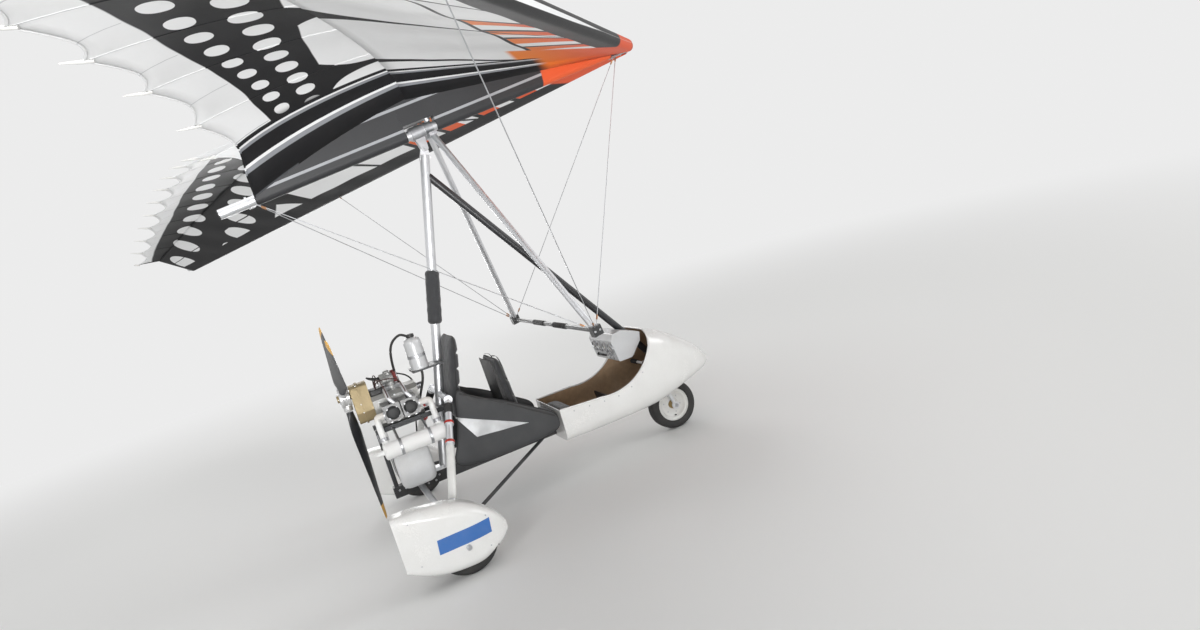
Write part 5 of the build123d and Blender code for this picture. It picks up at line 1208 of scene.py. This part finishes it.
angle = np.linspace(0, 2 * np.pi, 48, endpoint=False)[:, None]
bezels, needles, discs = [], [], []
for across, lift, radius, turn in DIALS:
    bezel = [(-1, radius), (6, radius), (8, radius - 2), (8, radius - 5), (4, radius - 6)]
    bezels.append(spun(on_face(across, lift), face_out, bezel, 48))
    ring = (radius - DIAL_RIM) * MM * (np.cos(angle) * ACROSS + np.sin(angle) * face_up)
    discs.append(closed_tube(np.stack([on_face(across, lift, off) + ring for off in (4.6, 4.0)])))
    way = radius * MM * (ACROSS * np.cos(radians(turn)) + face_up * np.sin(radians(turn)))
    middle = on_face(across, lift, 6.6)
    needles.append(line_shell([middle - way * 0.12, middle + way * 0.66], np.array((1.4, 0.4)), 6))
    needles.append(spun(on_face(across, lift, 5.2), face_out, [(0, 3.0), (2, 2.8)], 16))
middles = np.array([on_face(*dial[:2]) for dial in DIALS])
widths = np.array([2 * (dial[2] - DIAL_RIM) for dial in DIALS])[:, None] * MM


def dial_map(spots):
    """Place on the nearest dial, from 0 to 1 across its face."""
    own = np.argmin(np.linalg.norm(spots[:, None] - middles, axis=2), axis=1)
    off = (spots - middles[own]) / widths[own]
    return np.stack([off[:, 1], off @ face_up], 1) + 0.5


put("dial_bezels", bezels, "trike", "steel", plated_steel, smooth=30)
dials = lay_map(make_piece("dial_faces", joined(*discs)), "dial", dial_map)
finish_piece(dials, "trike", "black_plastic", dial_face)
put("dial_needles", needles, "trike", "black_plastic", needle_paint)
switches = [spun(on_face(across, 34), face_out, SWITCH, 18) for across in (-5, 20, 45, 70, 95)]
switches.append(spun(on_face(135, 34), face_out, [(-1, 13), (4, 12), (6, 9), (12, 9)], 24))
put("panel_switches", switches, "trike", "black_plastic", moulded_black)


# Seats: two upholstered buckets in tandem. Each pad is foam in a woven black cover,
# crowned, sewn into channels and piped round its edge; lap and shoulder belts with a
# steel buckle lie on the front one.
woven_black, tree, shader = new_material("woven_black")
x, y, z = split(place_in(tree))
thread = y.wave(2600.0) * (x + z).wave(2600.0)
life = effect(tree, grain, Scale=220.0, Broad=9.0)[0]
settled = effect(tree, dusting, Amount=0.10, Scale=6.0)[0]
tone = life.mix((0.016, 0.017, 0.019), (0.050, 0.052, 0.056))
tone = (thread.step(0.2, 0.9) * 0.35).mix(tone, (0.075, 0.078, 0.085))
surfaced(shader, settled.mix(tone, (0.20, 0.185, 0.16)), life.line(0.15, 0.72), thread, 0.0003, 0.5)
shader.inputs["Sheen Weight"].default_value = 0.3


def sewn_pad(centre, along, normal, size, channels):
    """Shell of a crowned pad with sewn channels, and the line of its edge seam.

    Height = half thickness * (1 - s^4)^0.4 * (1 - t^4)^0.4, less a narrow dip at each
    channel on the face; the outline's sides draw in by 2.5 % between the corners, and the
    corners themselves by 8 %, which rounds them.
    """
    length, width, thick = size
    lay = np.sin(np.linspace(-1, 1, 61) * np.pi / 2)
    s, t = (grid[..., None] for grid in np.meshgrid(lay, lay, indexing="ij"))
    swell = (np.clip(1 - s**4, 0, 1) * np.clip(1 - t**4, 0, 1)) ** 0.4
    dips = sum(np.exp(-(((s - place) / 0.035) ** 2)) for place in channels)
    ripple = 1.6 * np.sin(17 * s + 3 * t) * np.sin(13 * t) * swell
    reach_s = s * (1 - 0.025 * (1 - t**2) - 0.08 * t**8 * s**2) * length / 2
    reach_t = t * (1 - 0.025 * (1 - s**2) - 0.08 * s**8 * t**2) * width / 2
    middle = centre + (reach_s * unit(along) + reach_t * ACROSS) * MM
    top = middle + (thick * swell * (0.5 - 0.28 * dips) + ripple) * normal * MM
    under = middle - (thick * swell * 0.5 + ripple) * normal * MM
    shell = joined(*[(sheet.reshape(-1, 3), grid_faces(61, 61, False)) for sheet in (top, under)])
    return shell, np.concatenate([top[0], top[1:, -1], top[-1, -2::-1], top[-2::-1, 0]])


lean_out = np.cross(ACROSS, MAST_WAY)
tilt = unit((-0.045, 0.0, 0.485))
# Pads: name, middle, along, out, (length, width, thickness), channels, node stood for
PADS = (
    ("front_seat_base", at(825, 0, 438), (1, 0, 0.06), UPWARD, (372, 380, 84), (-0.5, 0.0, 0.5)),
    (
        "front_seat_back",
        at(625, 0, 715),
        tilt,
        np.cross(ACROSS, tilt),
        (480, 380, 66),
        (-0.55, -0.1, 0.35),
        "seat_front",
    ),
    ("rear_seat_base", at(420, 0, 640), ONWARD, UPWARD, (275, 380, 80), (-0.4, 0.3)),
    (
        "rear_seat_back",
        on_mast(0.945) + lean_out * 0.075,
        MAST_WAY,
        lean_out,
        (520, 380, 74),
        (-0.6, -0.2, 0.2, 0.6),
        "seat_rear",
    ),
)
seams = []
for name, middle, along, out, size, channels, *nodes in PADS:
    shell, edge = sewn_pad(middle, along, out, size, channels)
    put(name, shell, "trike", "seat_cloth", woven_black, *nodes, smooth=70)
    seams.append(line_shell(edge, 4.2, 8, lie=out))
put("seat_piping", seams, "trike", "seat_cloth", rubber, smooth=70)
# Rear seat's pan under its base pad, and the moulded shell behind the front back pad
PAN = [(300, 600), (556, 600), (556, 612), (300, 612)]
BACK_SHELL = [(588, 410), (612, 410), (596, 700), (576, 935), (566, 945), (574, 700)]
put("seat_pan", prism(PAN, -185, 185), "trike", "black_plastic", moulded_black)
put("front_seat_shell", prism(BACK_SHELL, -160, 160), "trike", "black_plastic", moulded_black)
dress(moulded_black, "seat_pedestal")
belts = []
for side, _ in SIDES:
    lap = [(680, side * 195, 430), (700, side * 190, 475), (760, side * 120, 489), (800, side * 30, 492)]
    belts.append(led(lap, 22, 8, 3, flat=0.06, lie=(0.2, 0, 1)))
    shoulder = [(598, side * 95, 966), (640, side * 93, 956), (655, side * 85, 750)]
    shoulder += [(678, side * 70, 560), (700, side * 50, 497), (780, side * 30, 491)]
    belts.append(led(shoulder, 19, 8, 3, flat=0.06, lie=(1, 0, 0.2)))
put("front_belts", belts, "trike", "seat_cloth", webbing, smooth=50)
buckle = spun(at(800, 0, 491), (0.05, 0, 1), [(0, 30), (4, 32), (9, 30)], 28, 3.0)
put("belt_buckle", buckle, "trike", "steel", plated_steel)

# Mast sleeve: foam wrapped in black cloth, with slight creases and turned-in ends
SLEEVE_END = (30.5, 38.0, 42.5, 44.0)
rows = np.linspace(0, 1, 60)
sleeve = np.stack([330 / MAST_WAY[2] * rows, 44.5 + 1.2 * np.sin(rows * 31) * np.sin(rows * 5)], 1)
sleeve[:4, 1], sleeve[-4:, 1] = SLEEVE_END, SLEEVE_END[::-1]
sleeve = turned(on_mast(1.270), MAST_WAY, sleeve, 48)
sleeve = put("sleeve_cover", sleeve, "trike", "black_pad", woven_black, "mast_sleeve", smooth=70)

# Panniers: side bags of grey coated canvas hung along the seats, zipped along the top,
# with a pale reflective patch sewn on the outer face and black bound edges.
canvas_grey, tree, shader = new_material("canvas_grey")
x, _, z = split(place_in(tree))
thread = x.wave(2100.0) * z.wave(2100.0)
life = effect(tree, grain, Scale=180.0, Broad=7.0)[0]
tone = life.mix((0.026, 0.027, 0.029), (0.060, 0.062, 0.065))
tone = effect(tree, dusting, Amount=0.10, Scale=6.0)[0].mix(tone, (0.24, 0.22, 0.19))
surfaced(shader, tone, life.line(0.2, 0.55), thread, 0.0003, 0.4)
reflective = finished(
    "reflective_patch", (0.52, 0.53, 0.54), 0.35, 0.3, (0.7, 0.7, 0.7), 0.2, 0.3, 600.0, 0.0002, shade=0.1
)
BAG = [(284, 888), (366, 790), (524, 719), (721, 590), (856, 500)]
BAG += [(850, 385), (424, 372), (130, 411), (224, 600)]
BAG_Y, BAG_HALF = 269, 32.5
ZIPS = (((300, 842), (545, 690)), ((560, 680), (835, 492)))


def even_loop(corners, rounds, count):
    """Closed outline with its corners cut, as points at even distances."""
    loop = np.asarray(corners, float)
    for _ in range(rounds):
        after = np.roll(loop, -1, axis=0)
        loop = np.stack([loop * 0.8 + after * 0.2, loop * 0.2 + after * 0.8], 1).reshape(-1, 2)
    closed = np.concatenate([loop, loop[:1]])
    run = np.append(0, np.cumsum(np.linalg.norm(np.diff(closed, axis=0), axis=1)))
    place = np.linspace(0, run[-1], count, endpoint=False)
    return np.stack([np.interp(place, run, closed[:, k]) for k in (0, 1)], 1)


def bag_skin(plan, side, face, reach, lift=0.0):
    """Points on a bag's outer (1) or inner (-1) face; reach is 0 in its middle, 1 at its edge."""
    x, z = np.moveaxis(plan, -1, 0)
    swell = np.sqrt(np.clip(1 - reach**5, 0, 1))
    folds = 2.2 * np.sin(x * 0.038 + z * 0.005) * np.sin(z * 0.027) * swell
    depth = (24.5 + 7 * np.clip((620 - z) / 250, 0, 1)) * swell + folds
    return at(x, side * (BAG_Y + face * np.clip(depth, 0, BAG_HALF) + lift), z)


def bag_face(plan, side, lift):
    """Points on a bag's outer face for (ahead, height) places, lifted off it."""
    off = plan - bag_middle
    turn, far = np.arctan2(bag_rim[:, 1], bag_rim[:, 0]), np.linalg.norm(bag_rim, axis=1)
    edge = np.interp(np.arctan2(off[..., 1], off[..., 0]), turn, far, period=2 * np.pi)
    reach = np.clip(np.linalg.norm(off, axis=-1) / edge, 0, 1)
    return bag_skin(plan, side, 1, reach, lift)


bag_middle = np.array((470.0, 530.0))
bag_rim = even_loop(BAG, 3, 160) - bag_middle
reach = np.sin(np.linspace(0, 1, 34) * np.pi / 2)[:, None]
plan = bag_middle + bag_rim * reach[..., None]
bindings, patches, zips = [], [], []
for side, name in SIDES:
    faces = [bag_skin(plan, side, face, reach).reshape(-1, 3) for face in (1, -1)]
    shell = joined(*[(points, grid_faces(34, 160)) for points in faces])
    nodes = ["panniers"] if side < 0 else []
    bag = put(name + "_pannier", shell, "trike", "seat_cloth", canvas_grey, *nodes, smooth=70)
    edge = at(plan[-1, :, 0], side * BAG_Y, plan[-1, :, 1])
    bindings.append(line_shell(np.concatenate([edge, edge[:1]]), 5, 8, lie=ACROSS))
put("pannier_binding", bindings, "trike", "seat_cloth", webbing, smooth=60)
# Patch: a triangle with its tip cut off, from the corner near the bag's top
tip, front, rear = np.array([(232, 712), (655, 517), (320, 553)], float)
a, b = (part[..., None] for part in np.meshgrid(np.linspace(0, 1, 40), np.linspace(0.02, 1, 26)))
plan = tip + (front - tip) * a * b + (rear - tip) * (1 - a) * b
share = np.linspace(0, 1, 40)[:, None]
for side, _ in SIDES:
    patches.append(slab(bag_face(plan, side, 1.6), bag_face(plan, side, -3.0)))
    for start, end in ZIPS:
        line = np.array(start) * (1 - share) + np.array(end) * share
        zips.append(line_shell(bag_face(line, side, 0.6), 6, 8, 0.28, lie=ACROSS))
put("pannier_patches", patches, "trike", "seat_cloth", reflective, smooth=40)
put("pannier_zips", zips, "trike", "black_plastic", moulded_black, smooth=60)

# Wing: tubes first. Everything on it is placed in the wing's own frame, from the hang
# bolt along and above its keel, parked with its nose up. Stays end in swaged copper
# sleeves; the base bar wears foam grips, and the tubes plastic end plugs.
WING_PITCH = radians(8.75)
WING_X = np.array((np.cos(WING_PITCH), 0.0, np.sin(WING_PITCH)))
WING_Z = np.array((-np.sin(WING_PITCH), 0.0, np.cos(WING_PITCH)))
KINGPOST_TOP, KEEL_END = (-30, 0, 1250), (-1250, 0, 100)
NOSE_HOLD, TAIL_HOLD = (1520, 0, 100), (-1068, 0, 100)
BAR_X, BAR_Y, BAR_Z = 242, 850, -1379
LEAD_ROOT_Y, LEAD_TIP_Y = 46, 4900
BRACE_Y = 0.55 * LEAD_TIP_Y
FERRULE = [(70, 4.2), (73, 5.2), (97, 5.2), (100, 4.2)]


def on_wing(x, y, z):
    """Points in millimetres along, across and above the wing's keel from the hang bolt."""
    x, y, z = (part[..., None] for part in np.broadcast_arrays(x, y, z))
    return HANG + (x * WING_X + y * ACROSS + z * WING_Z) * MM


def leading_edge(y):
    """Place of the leading edge tube along and above the keel, this far out."""
    share = (y - LEAD_ROOT_Y) / (LEAD_TIP_Y - LEAD_ROOT_Y)
    return 1590 - 3570 * share, 100 + 150 * share


def lead_spot(y, side):
    """Point on the leading edge tube's line, this far out."""
    x, z = leading_edge(y)
    return on_wing(x, side * y, z)


brace_x, brace_z = leading_edge(BRACE_Y)
stay_ends = [(KINGPOST_TOP, NOSE_HOLD), (KINGPOST_TOP, TAIL_HOLD)]
for side, _ in SIDES:
    corner, hold = (BAR_X, side * BAR_Y, BAR_Z), (brace_x, side * BRACE_Y, brace_z)
    stay_ends += [(corner, NOSE_HOLD), (corner, TAIL_HOLD), (corner, hold), (KINGPOST_TOP, hold)]
ferrules = []
for start, end in stay_ends:
    way = on_wing(*end) - on_wing(*start)
    ferrules += [spun(on_wing(*start), way, FERRULE, 16), spun(on_wing(*end), -way, FERRULE, 16)]
copper = finished(
    "swaged_copper", (0.48, 0.24, 0.12), 0.38, 0.85, (0.7, 0.45, 0.3), 0.3, 0.2, 500.0, 0.0002
)
put("stay_ferrules", ferrules, "wing", "steel", copper)
kingpost_way = on_wing(*KINGPOST_TOP) - on_wing(96, 0, 140)
plugs = [spun(on_wing(*KEEL_END), -WING_X, [(-20, 26.8), (0, 26.8), (0, 30), (4, 30), (6, 26)], 36)]
plugs.append(spun(on_wing(-31.9, 0, 1267), kingpost_way, [(-4, 24.3), (4, 24.3), (10, 18)]))
grips, spots = [], []
for side, _ in SIDES:
    out = (0, side, 0)
    grip = [(100, 15.5), (104, 18.5), (340, 18.5), (345, 15.5)]
    grips.append(spun(on_wing(BAR_X, 0, BAR_Z), out, grip, 28))
    for x in (BAR_X - 16, BAR_X + 16):
        spots.append((on_wing(x, side * BAR_Y, BAR_Z + 30), WING_Z))
        spots.append((on_wing(x, side * (BAR_Y + 30), BAR_Z), out))
    spots.append((on_wing(78, side * 78, 54), out))
    for x in (1475, 1500, 1550, 1600):
        spots += [(on_wing(x, side * 24, 64), -WING_Z), (on_wing(x, side * 24, 136), WING_Z)]
    root, tip = lead_spot(LEAD_ROOT_Y, side), lead_spot(LEAD_TIP_Y, side)
    plugs.append(spun(tip, tip - root, [(-20, 27.2), (0, 27.2), (0, 30), (4, 29.5), (6, 25)], 36))
put("bar_grips", grips, "wing", "black_pad", rubber)
put("wing_bolts", hex_heads(spots, 7.5), "wing", "steel", plated_steel)
put("tube_plugs", plugs, "wing", "black_plastic", moulded_black)

# Sail: one cut of coated polyester cloth a side, wrapped round the leading edge tube and
# back under the front part of the chord. Battens run in pockets from nose to tail and
# hold the hem out at points, so that it hangs in scallops between them. It is dyed in
# broad fields: white, a black border with two rows of white ovals, thin black veins,
# and orange cells behind a black leading edge.
ROOT_Y, SAIL_TIP_Y = 40, 4840
ROOT_CHORD, TIP_CHORD = 2630, 560
BAYS, SCALLOP_DEPTH, SPAN_STEPS = 11, 90, 12
CAMBER, CAMBER_PLACE, DOUBLE_SURFACE = 0.078, 0.42, 0.60
COVER = 45.5


def sail_frame(y):
    """Leading edge place, chord and twist of the sail at a distance out from the middle."""
    share = np.clip((y - ROOT_Y) / (SAIL_TIP_Y - ROOT_Y), 0, 1)
    chord = ROOT_CHORD + (TIP_CHORD - ROOT_CHORD) * share
    return *leading_edge(y), chord, np.radians(0.1 + 26.9 * share**0.47)


def top_height(part, chord):
    """Upper skin above the chord line: a parabola on each side of the crest."""
    crest = CAMBER * chord + COVER / 2
    ahead_of = crest + (COVER - crest) * (np.clip(CAMBER_PLACE - part, 0, None) / CAMBER_PLACE) ** 2
    behind = crest + (3 - crest) * (np.clip(part - CAMBER_PLACE, 0, None) / (1 - CAMBER_PLACE)) ** 2
    return np.where(part < CAMBER_PLACE, ahead_of, behind)


def sail_point(y, back, up, side):
    """Points a distance back from the leading edge along the chord, and above it."""
    x_lead, z_lead, _, twist = sail_frame(y)
    x = x_lead - back * np.cos(twist) + up * np.sin(twist)
    return on_wing(x, side * y, z_lead + back * np.sin(twist) + up * np.cos(twist))


def scallop(y):
    """How far the hem is drawn in between battens: a bow in each bay, sharp at its ends."""
    bay = np.mod(np.clip((y - ROOT_Y) / (SAIL_TIP_Y - ROOT_Y), 0, 0.99999) * BAYS, 1)
    return SCALLOP_DEPTH * (1 - np.abs(2 * bay - 1) ** 1.7)


def cut_map(spots):
    """Place on the sail's cut in metres: out from the middle, and ahead of the hem."""
    off = (spots - HANG) / MM
    out, x, z = np.abs(off[:, 1]), off @ WING_X, off @ WING_Z
    x_lead, z_lead, chord, twist = sail_frame(out)
    back = (x_lead - x) * np.cos(twist) + (z - z_lead) * np.sin(twist)
    return np.stack([out, chord - np.clip(back, -COVER, None)], 1) * MM


EULER = 2.718282
sail_cloth, tree, shader = new_material("sail_cloth")
cut = add_node(tree, "ShaderNodeUVMap", uv_map="cut").outputs[0]
u, v, _ = split(cut)
chord_here = u.line(-0.43125, 2.64725)
part = 1.0 - v / chord_here
waver = noise(cut, 1.3, 2.0).line(0.10, -0.05)
# Border: from a tenth of a metre plus a share of the chord ahead of the hem
border_wide = (u * u).line(0.030, u.line(0.060, 0.380))
border_share = (v + waver - chord_here.line(0.085, 0.085)) / border_wide
border = border_share.step(0.0, 0.015) * border_share.step(1.0, 0.985)
# Ovals: rows at even steps of a length that grows outwards
step_count = number("LOGARITHM", u.line(0.625, 1.0), EULER) * 15.0


def oval_row(middle, offset, long_half, short_share):
    """Mask of one row of ovals along the border."""
    away_u = ((step_count + offset).fraction() - 0.5) / long_half
    away_v = (border_share - middle) / short_share
    return (abs(away_u) ** 2.2 + abs(away_v) ** 2.2).step(1.03, 0.97)


ovals = (oval_row(0.24, 0.0, 0.29, 0.105) | oval_row(0.66, 0.5, 0.33, 0.135)) * u.step(0.22, 0.30)
# Veins: curved chordwise lines that flare where they meet the border
ahead_of = (border_share - 1.0) | 0.0
vein_near = abs(((u + (ahead_of**1.5).line(0.035, waver)) * 1.25).fraction() - 0.5)
flare = number("POWER", EULER, ahead_of * -3.2) * 0.16
veins = 1.0 - (vein_near - (flare + 0.016)).step(-0.004, 0.004)
veins = veins * (border_share.step(0.97, 0.99) * u.step(0.12, 0.16))
# Leading zone: a black edge, then a row of orange, black and white cells near the nose
lead_in = part - u.line(0.030, 0.040)
lead_line = lead_in.step(0.171, 0.173) * lead_in.step(0.186, 0.184)
cell_count = u * 3.4 + part * 2.5
cell_zone = lead_in.step(0.175, 0.170) * cell_count.step(5.66, 5.64)
cell_turn = cell_count.fraction()
cell_orange = cell_zone * cell_turn.step(0.47, 0.45)
cell_black = cell_zone * (cell_turn.step(0.45, 0.47) * cell_turn.step(0.62, 0.60))
nose_zone = part.step(0.30, 0.28) * u.step(0.46, 0.43)
life = effect(tree, grain, Scale=60.0, Broad=2.0)[0]
settled = effect(tree, dusting, Amount=0.05, Scale=1.6)[0]
white = life.mix((0.76, 0.765, 0.77), (0.83, 0.835, 0.84))
orange = part.step(0.04, 0.30).mix((0.70, 0.085, 0.020), (0.80, 0.22, 0.030))
black = life.mix((0.008, 0.008, 0.009), (0.016, 0.016, 0.018))
dark = lead_line | cell_black | lead_in.step(0.003, 0.0) | veins
tone = dark.mix(cell_orange.mix(white, orange), black)
tone = (border * (1.0 - ovals)).mix(nose_zone.mix(tone, orange), black)
# Root panel: lengthwise bars of grey, white and black beside the keel
root_bar = (u * 9.0).fraction()
bar_tone = root_bar.step(0.70, 0.73).mix(black, (0.26, 0.27, 0.29))
bar_tone = root_bar.step(0.88, 0.90).mix(bar_tone, white)
tone = (u.step(0.250, 0.246) * part.step(0.22, 0.26)).mix(tone, bar_tone)
# Painted highlight: a white line along the foremost fold, widening from near the nose out to the tip
fold_highlight_start = u.spread(-COVER * MM, 0.0048 - COVER * MM, 0.9, 3.2)
tone = (chord_here - v - fold_highlight_start).step(0.0003, -0.0003).mix(tone, white)
seam_near = abs(((u - 0.04) * (2 * BAYS / 4.8)).fraction() - 0.5)
seams = seam_near.step(0.484, 0.490) * border_share.step(0.0, -0.02) * 0.45
tone = settled.mix(seams.mix(tone, (0.20, 0.21, 0.23)), DUST)
cloth_height = (u.wave(2400.0) * v.wave(2400.0)).line(0.02, noise(cut, 7.0, 3.0))
surfaced(shader, tone, life.line(0.15, 0.52), cloth_height, 0.004, 0.35)
shader.inputs["Sheen Weight"].default_value = 0.03
shader.inputs["Specular IOR Level"].default_value = 0.22
# Cloth from the hem over the top, round the nose and back to the double surface's end
span = ROOT_Y + (SAIL_TIP_Y - ROOT_Y) * np.linspace(0, 1, BAYS * SPAN_STEPS + 1)
out, chord = span[:, None], sail_frame(span[:, None])[2]
billow = np.sin(np.pi * np.mod(np.linspace(0, BAYS, len(span)), 1))[:, None] ** 2
over = 1 - np.sin(np.linspace(0, 1, 40) * np.pi / 2)
fold = np.linspace(np.pi / 2, 3 * np.pi / 2, 15)[1:-1] + 0 * chord
below = np.linspace(0, 1, 26) ** 1.1
back_top = over * chord - scallop(out) * np.clip((over - 0.80) / 0.20, 0, 1) ** 2
up_top = top_height(over, chord) + 6 * billow * np.sin(np.pi * over)
joint = top_height(DOUBLE_SURFACE, chord) - 5
up_under = -COVER + (joint + COVER) * below - 8 * billow * np.sin(np.pi * below)
backs = np.concatenate([back_top, COVER * np.cos(fold), below * DOUBLE_SURFACE * chord], 1)
ups = np.concatenate([up_top, COVER * np.sin(fold), up_under], 1)
faces = grid_faces(*backs.shape, False)
for side, name in ((-1, "sail_starboard"), (1, "sail_port")):
    grid = sail_point(out, backs, ups, side)
    mesh = bpy.data.meshes.new(name)
    mesh.from_pydata(grid.reshape(-1, 3).tolist(), [], [face[::side] for face in faces])
    mesh.polygons.foreach_set("use_smooth", np.full(len(mesh.polygons), True))
    mesh.update()
    sail = lay_map(bpy.data.objects.new(name, mesh), "cut", cut_map)
    bpy.context.scene.collection.objects.link(sail)
    walled(sail, 0.0015)
    finish_piece(sail, "wing", "sail_cloth", sail_cloth, *(["sail"] if side < 0 else []))

# Battens in their pockets, white plastic batten ends that stand out behind the hem, the
# folded hem itself, and a sewn rib that closes each wing tip.
pockets, ends, hems, ribs = [], [], [], []
for side, _ in SIDES:
    for bay in range(1, BAYS + 1):
        inset, reach = (12, 20) if bay == BAYS else (0, 80)
        y = ROOT_Y + (SAIL_TIP_Y - ROOT_Y) * bay / BAYS - inset
        chord = sail_frame(y)[2]
        for first, last, sink, *bar in ((0.62, 0.995, 0.8, 6.5, 10, 0.55), (0.06, 0.62, 2.2, 6.0, 8, 0.6)):
            part = np.linspace(first, last, 34)
            path = sail_point(y, part * chord, top_height(part, chord) - sink, side)
            pockets.append(line_shell(path, *bar, lie=UPWARD))
        path = sail_point(y, chord + np.array([-40, 0, reach * 0.65, reach]), 1.5, side)
        ends.append(line_shell(path, np.array([9.0, 13.0, 7.5, 3.0]), 12, 0.7, lie=UPWARD))
    pull = scallop(span)
    pull[-1] = 0
    path = sail_point(span, sail_frame(span)[2] - pull - 4, 2.2, side)
    hems.append(line_shell(path, 5.8, 8, 0.5, lie=WING_Z))
    rings = [sail_point(SAIL_TIP_Y + shift, backs[-1], ups[-1], side) for shift in (-3, 0.5)]
    ribs.append(closed_tube(np.stack(rings)))
tip_cloth = finished("tip_cloth", (0.020, 0.020, 0.022), 0.55, 0.0, SCUFF, 0.0, 0.15, 300.0, 0.0002)
lay_map(put("batten_pockets", pockets, "wing", "sail_cloth", sail_cloth, smooth=60), "cut", cut_map)
put("batten_ends", ends, "wing", "white_shell", white_enamel, smooth=60)
lay_map(put("sail_hems", hems, "wing", "sail_cloth", sail_cloth, smooth=60), "cut", cut_map)
put("tip_ribs", ribs, "wing", "sail_cloth", tip_cloth, smooth=40)

# Keel pocket: the strip of cloth along the middle that closes the sail over the keel
# tube and wraps under it, open where the hang bracket and kingpost stand.
POCKET_REAR, NOTCH_REAR, NOTCH_FRONT, POCKET_FRONT = -1040, -72, 132, 1455
pocket_cloth, tree, shader = new_material("pocket_cloth")
x, _, z = split(place_in(tree))
life, height = effect(tree, grain, Scale=120.0, Broad=4.0)
greys = life.mix((0.016, 0.016, 0.018), (0.036, 0.037, 0.040))
whites = life.mix((0.30, 0.31, 0.33), (0.42, 0.43, 0.45))
striped = ((z - x * 0.154) * 7.0).fraction().step(0.87, 0.90).mix(greys, whites)
tone = x.step(ahead(1.50), ahead(1.51)).mix(striped, (0.70, 0.10, 0.022))
surfaced(shader, tone, life.line(0.15, 0.45), height, 0.0004, 0.4)
x_nose, z_nose, chord, twist = sail_frame(ROOT_Y)
part = np.linspace(0, 1, 200)
up = top_height(part, chord)
root_x = x_nose - part * chord * np.cos(twist) + up * np.sin(twist)
root_z = z_nose + part * chord * np.sin(twist) + up * np.cos(twist)


def pocket_rings(start, end, steps, notch=False):
    """Rings of the pocket: flat on top, straight sides, round under the keel tube."""
    x = np.linspace(start, end, steps)[:, None]
    under, over = np.linspace(0, -np.pi, 15), np.linspace(-39.8, 39.8, 9)
    low_y, low_z = (39.8, 160.5 + 0 * under) if notch else (36.5, 100 + 36 * np.sin(under))
    top = np.maximum(np.interp(x, root_x[::-1], root_z[::-1]), low_z[0] + 4)
    z = [np.broadcast_to(low_z, (steps, 15)), np.broadcast_to(top, (steps, 9))]
    return closed_tube(on_wing(x, np.append(low_y * np.cos(under), over), np.concatenate(z, 1)))


stretches = (
    pocket_rings(POCKET_REAR, NOTCH_REAR, 60),
    pocket_rings(NOTCH_REAR, NOTCH_FRONT, 12, True),
    pocket_rings(NOTCH_FRONT, POCKET_FRONT, 70),
)
pocket = make_piece("pocket_cloth", joined(*stretches), 50)
walled(pocket, 0.0012)
finish_piece(pocket, "wing", "sail_cloth", pocket_cloth, "keel_pocket")
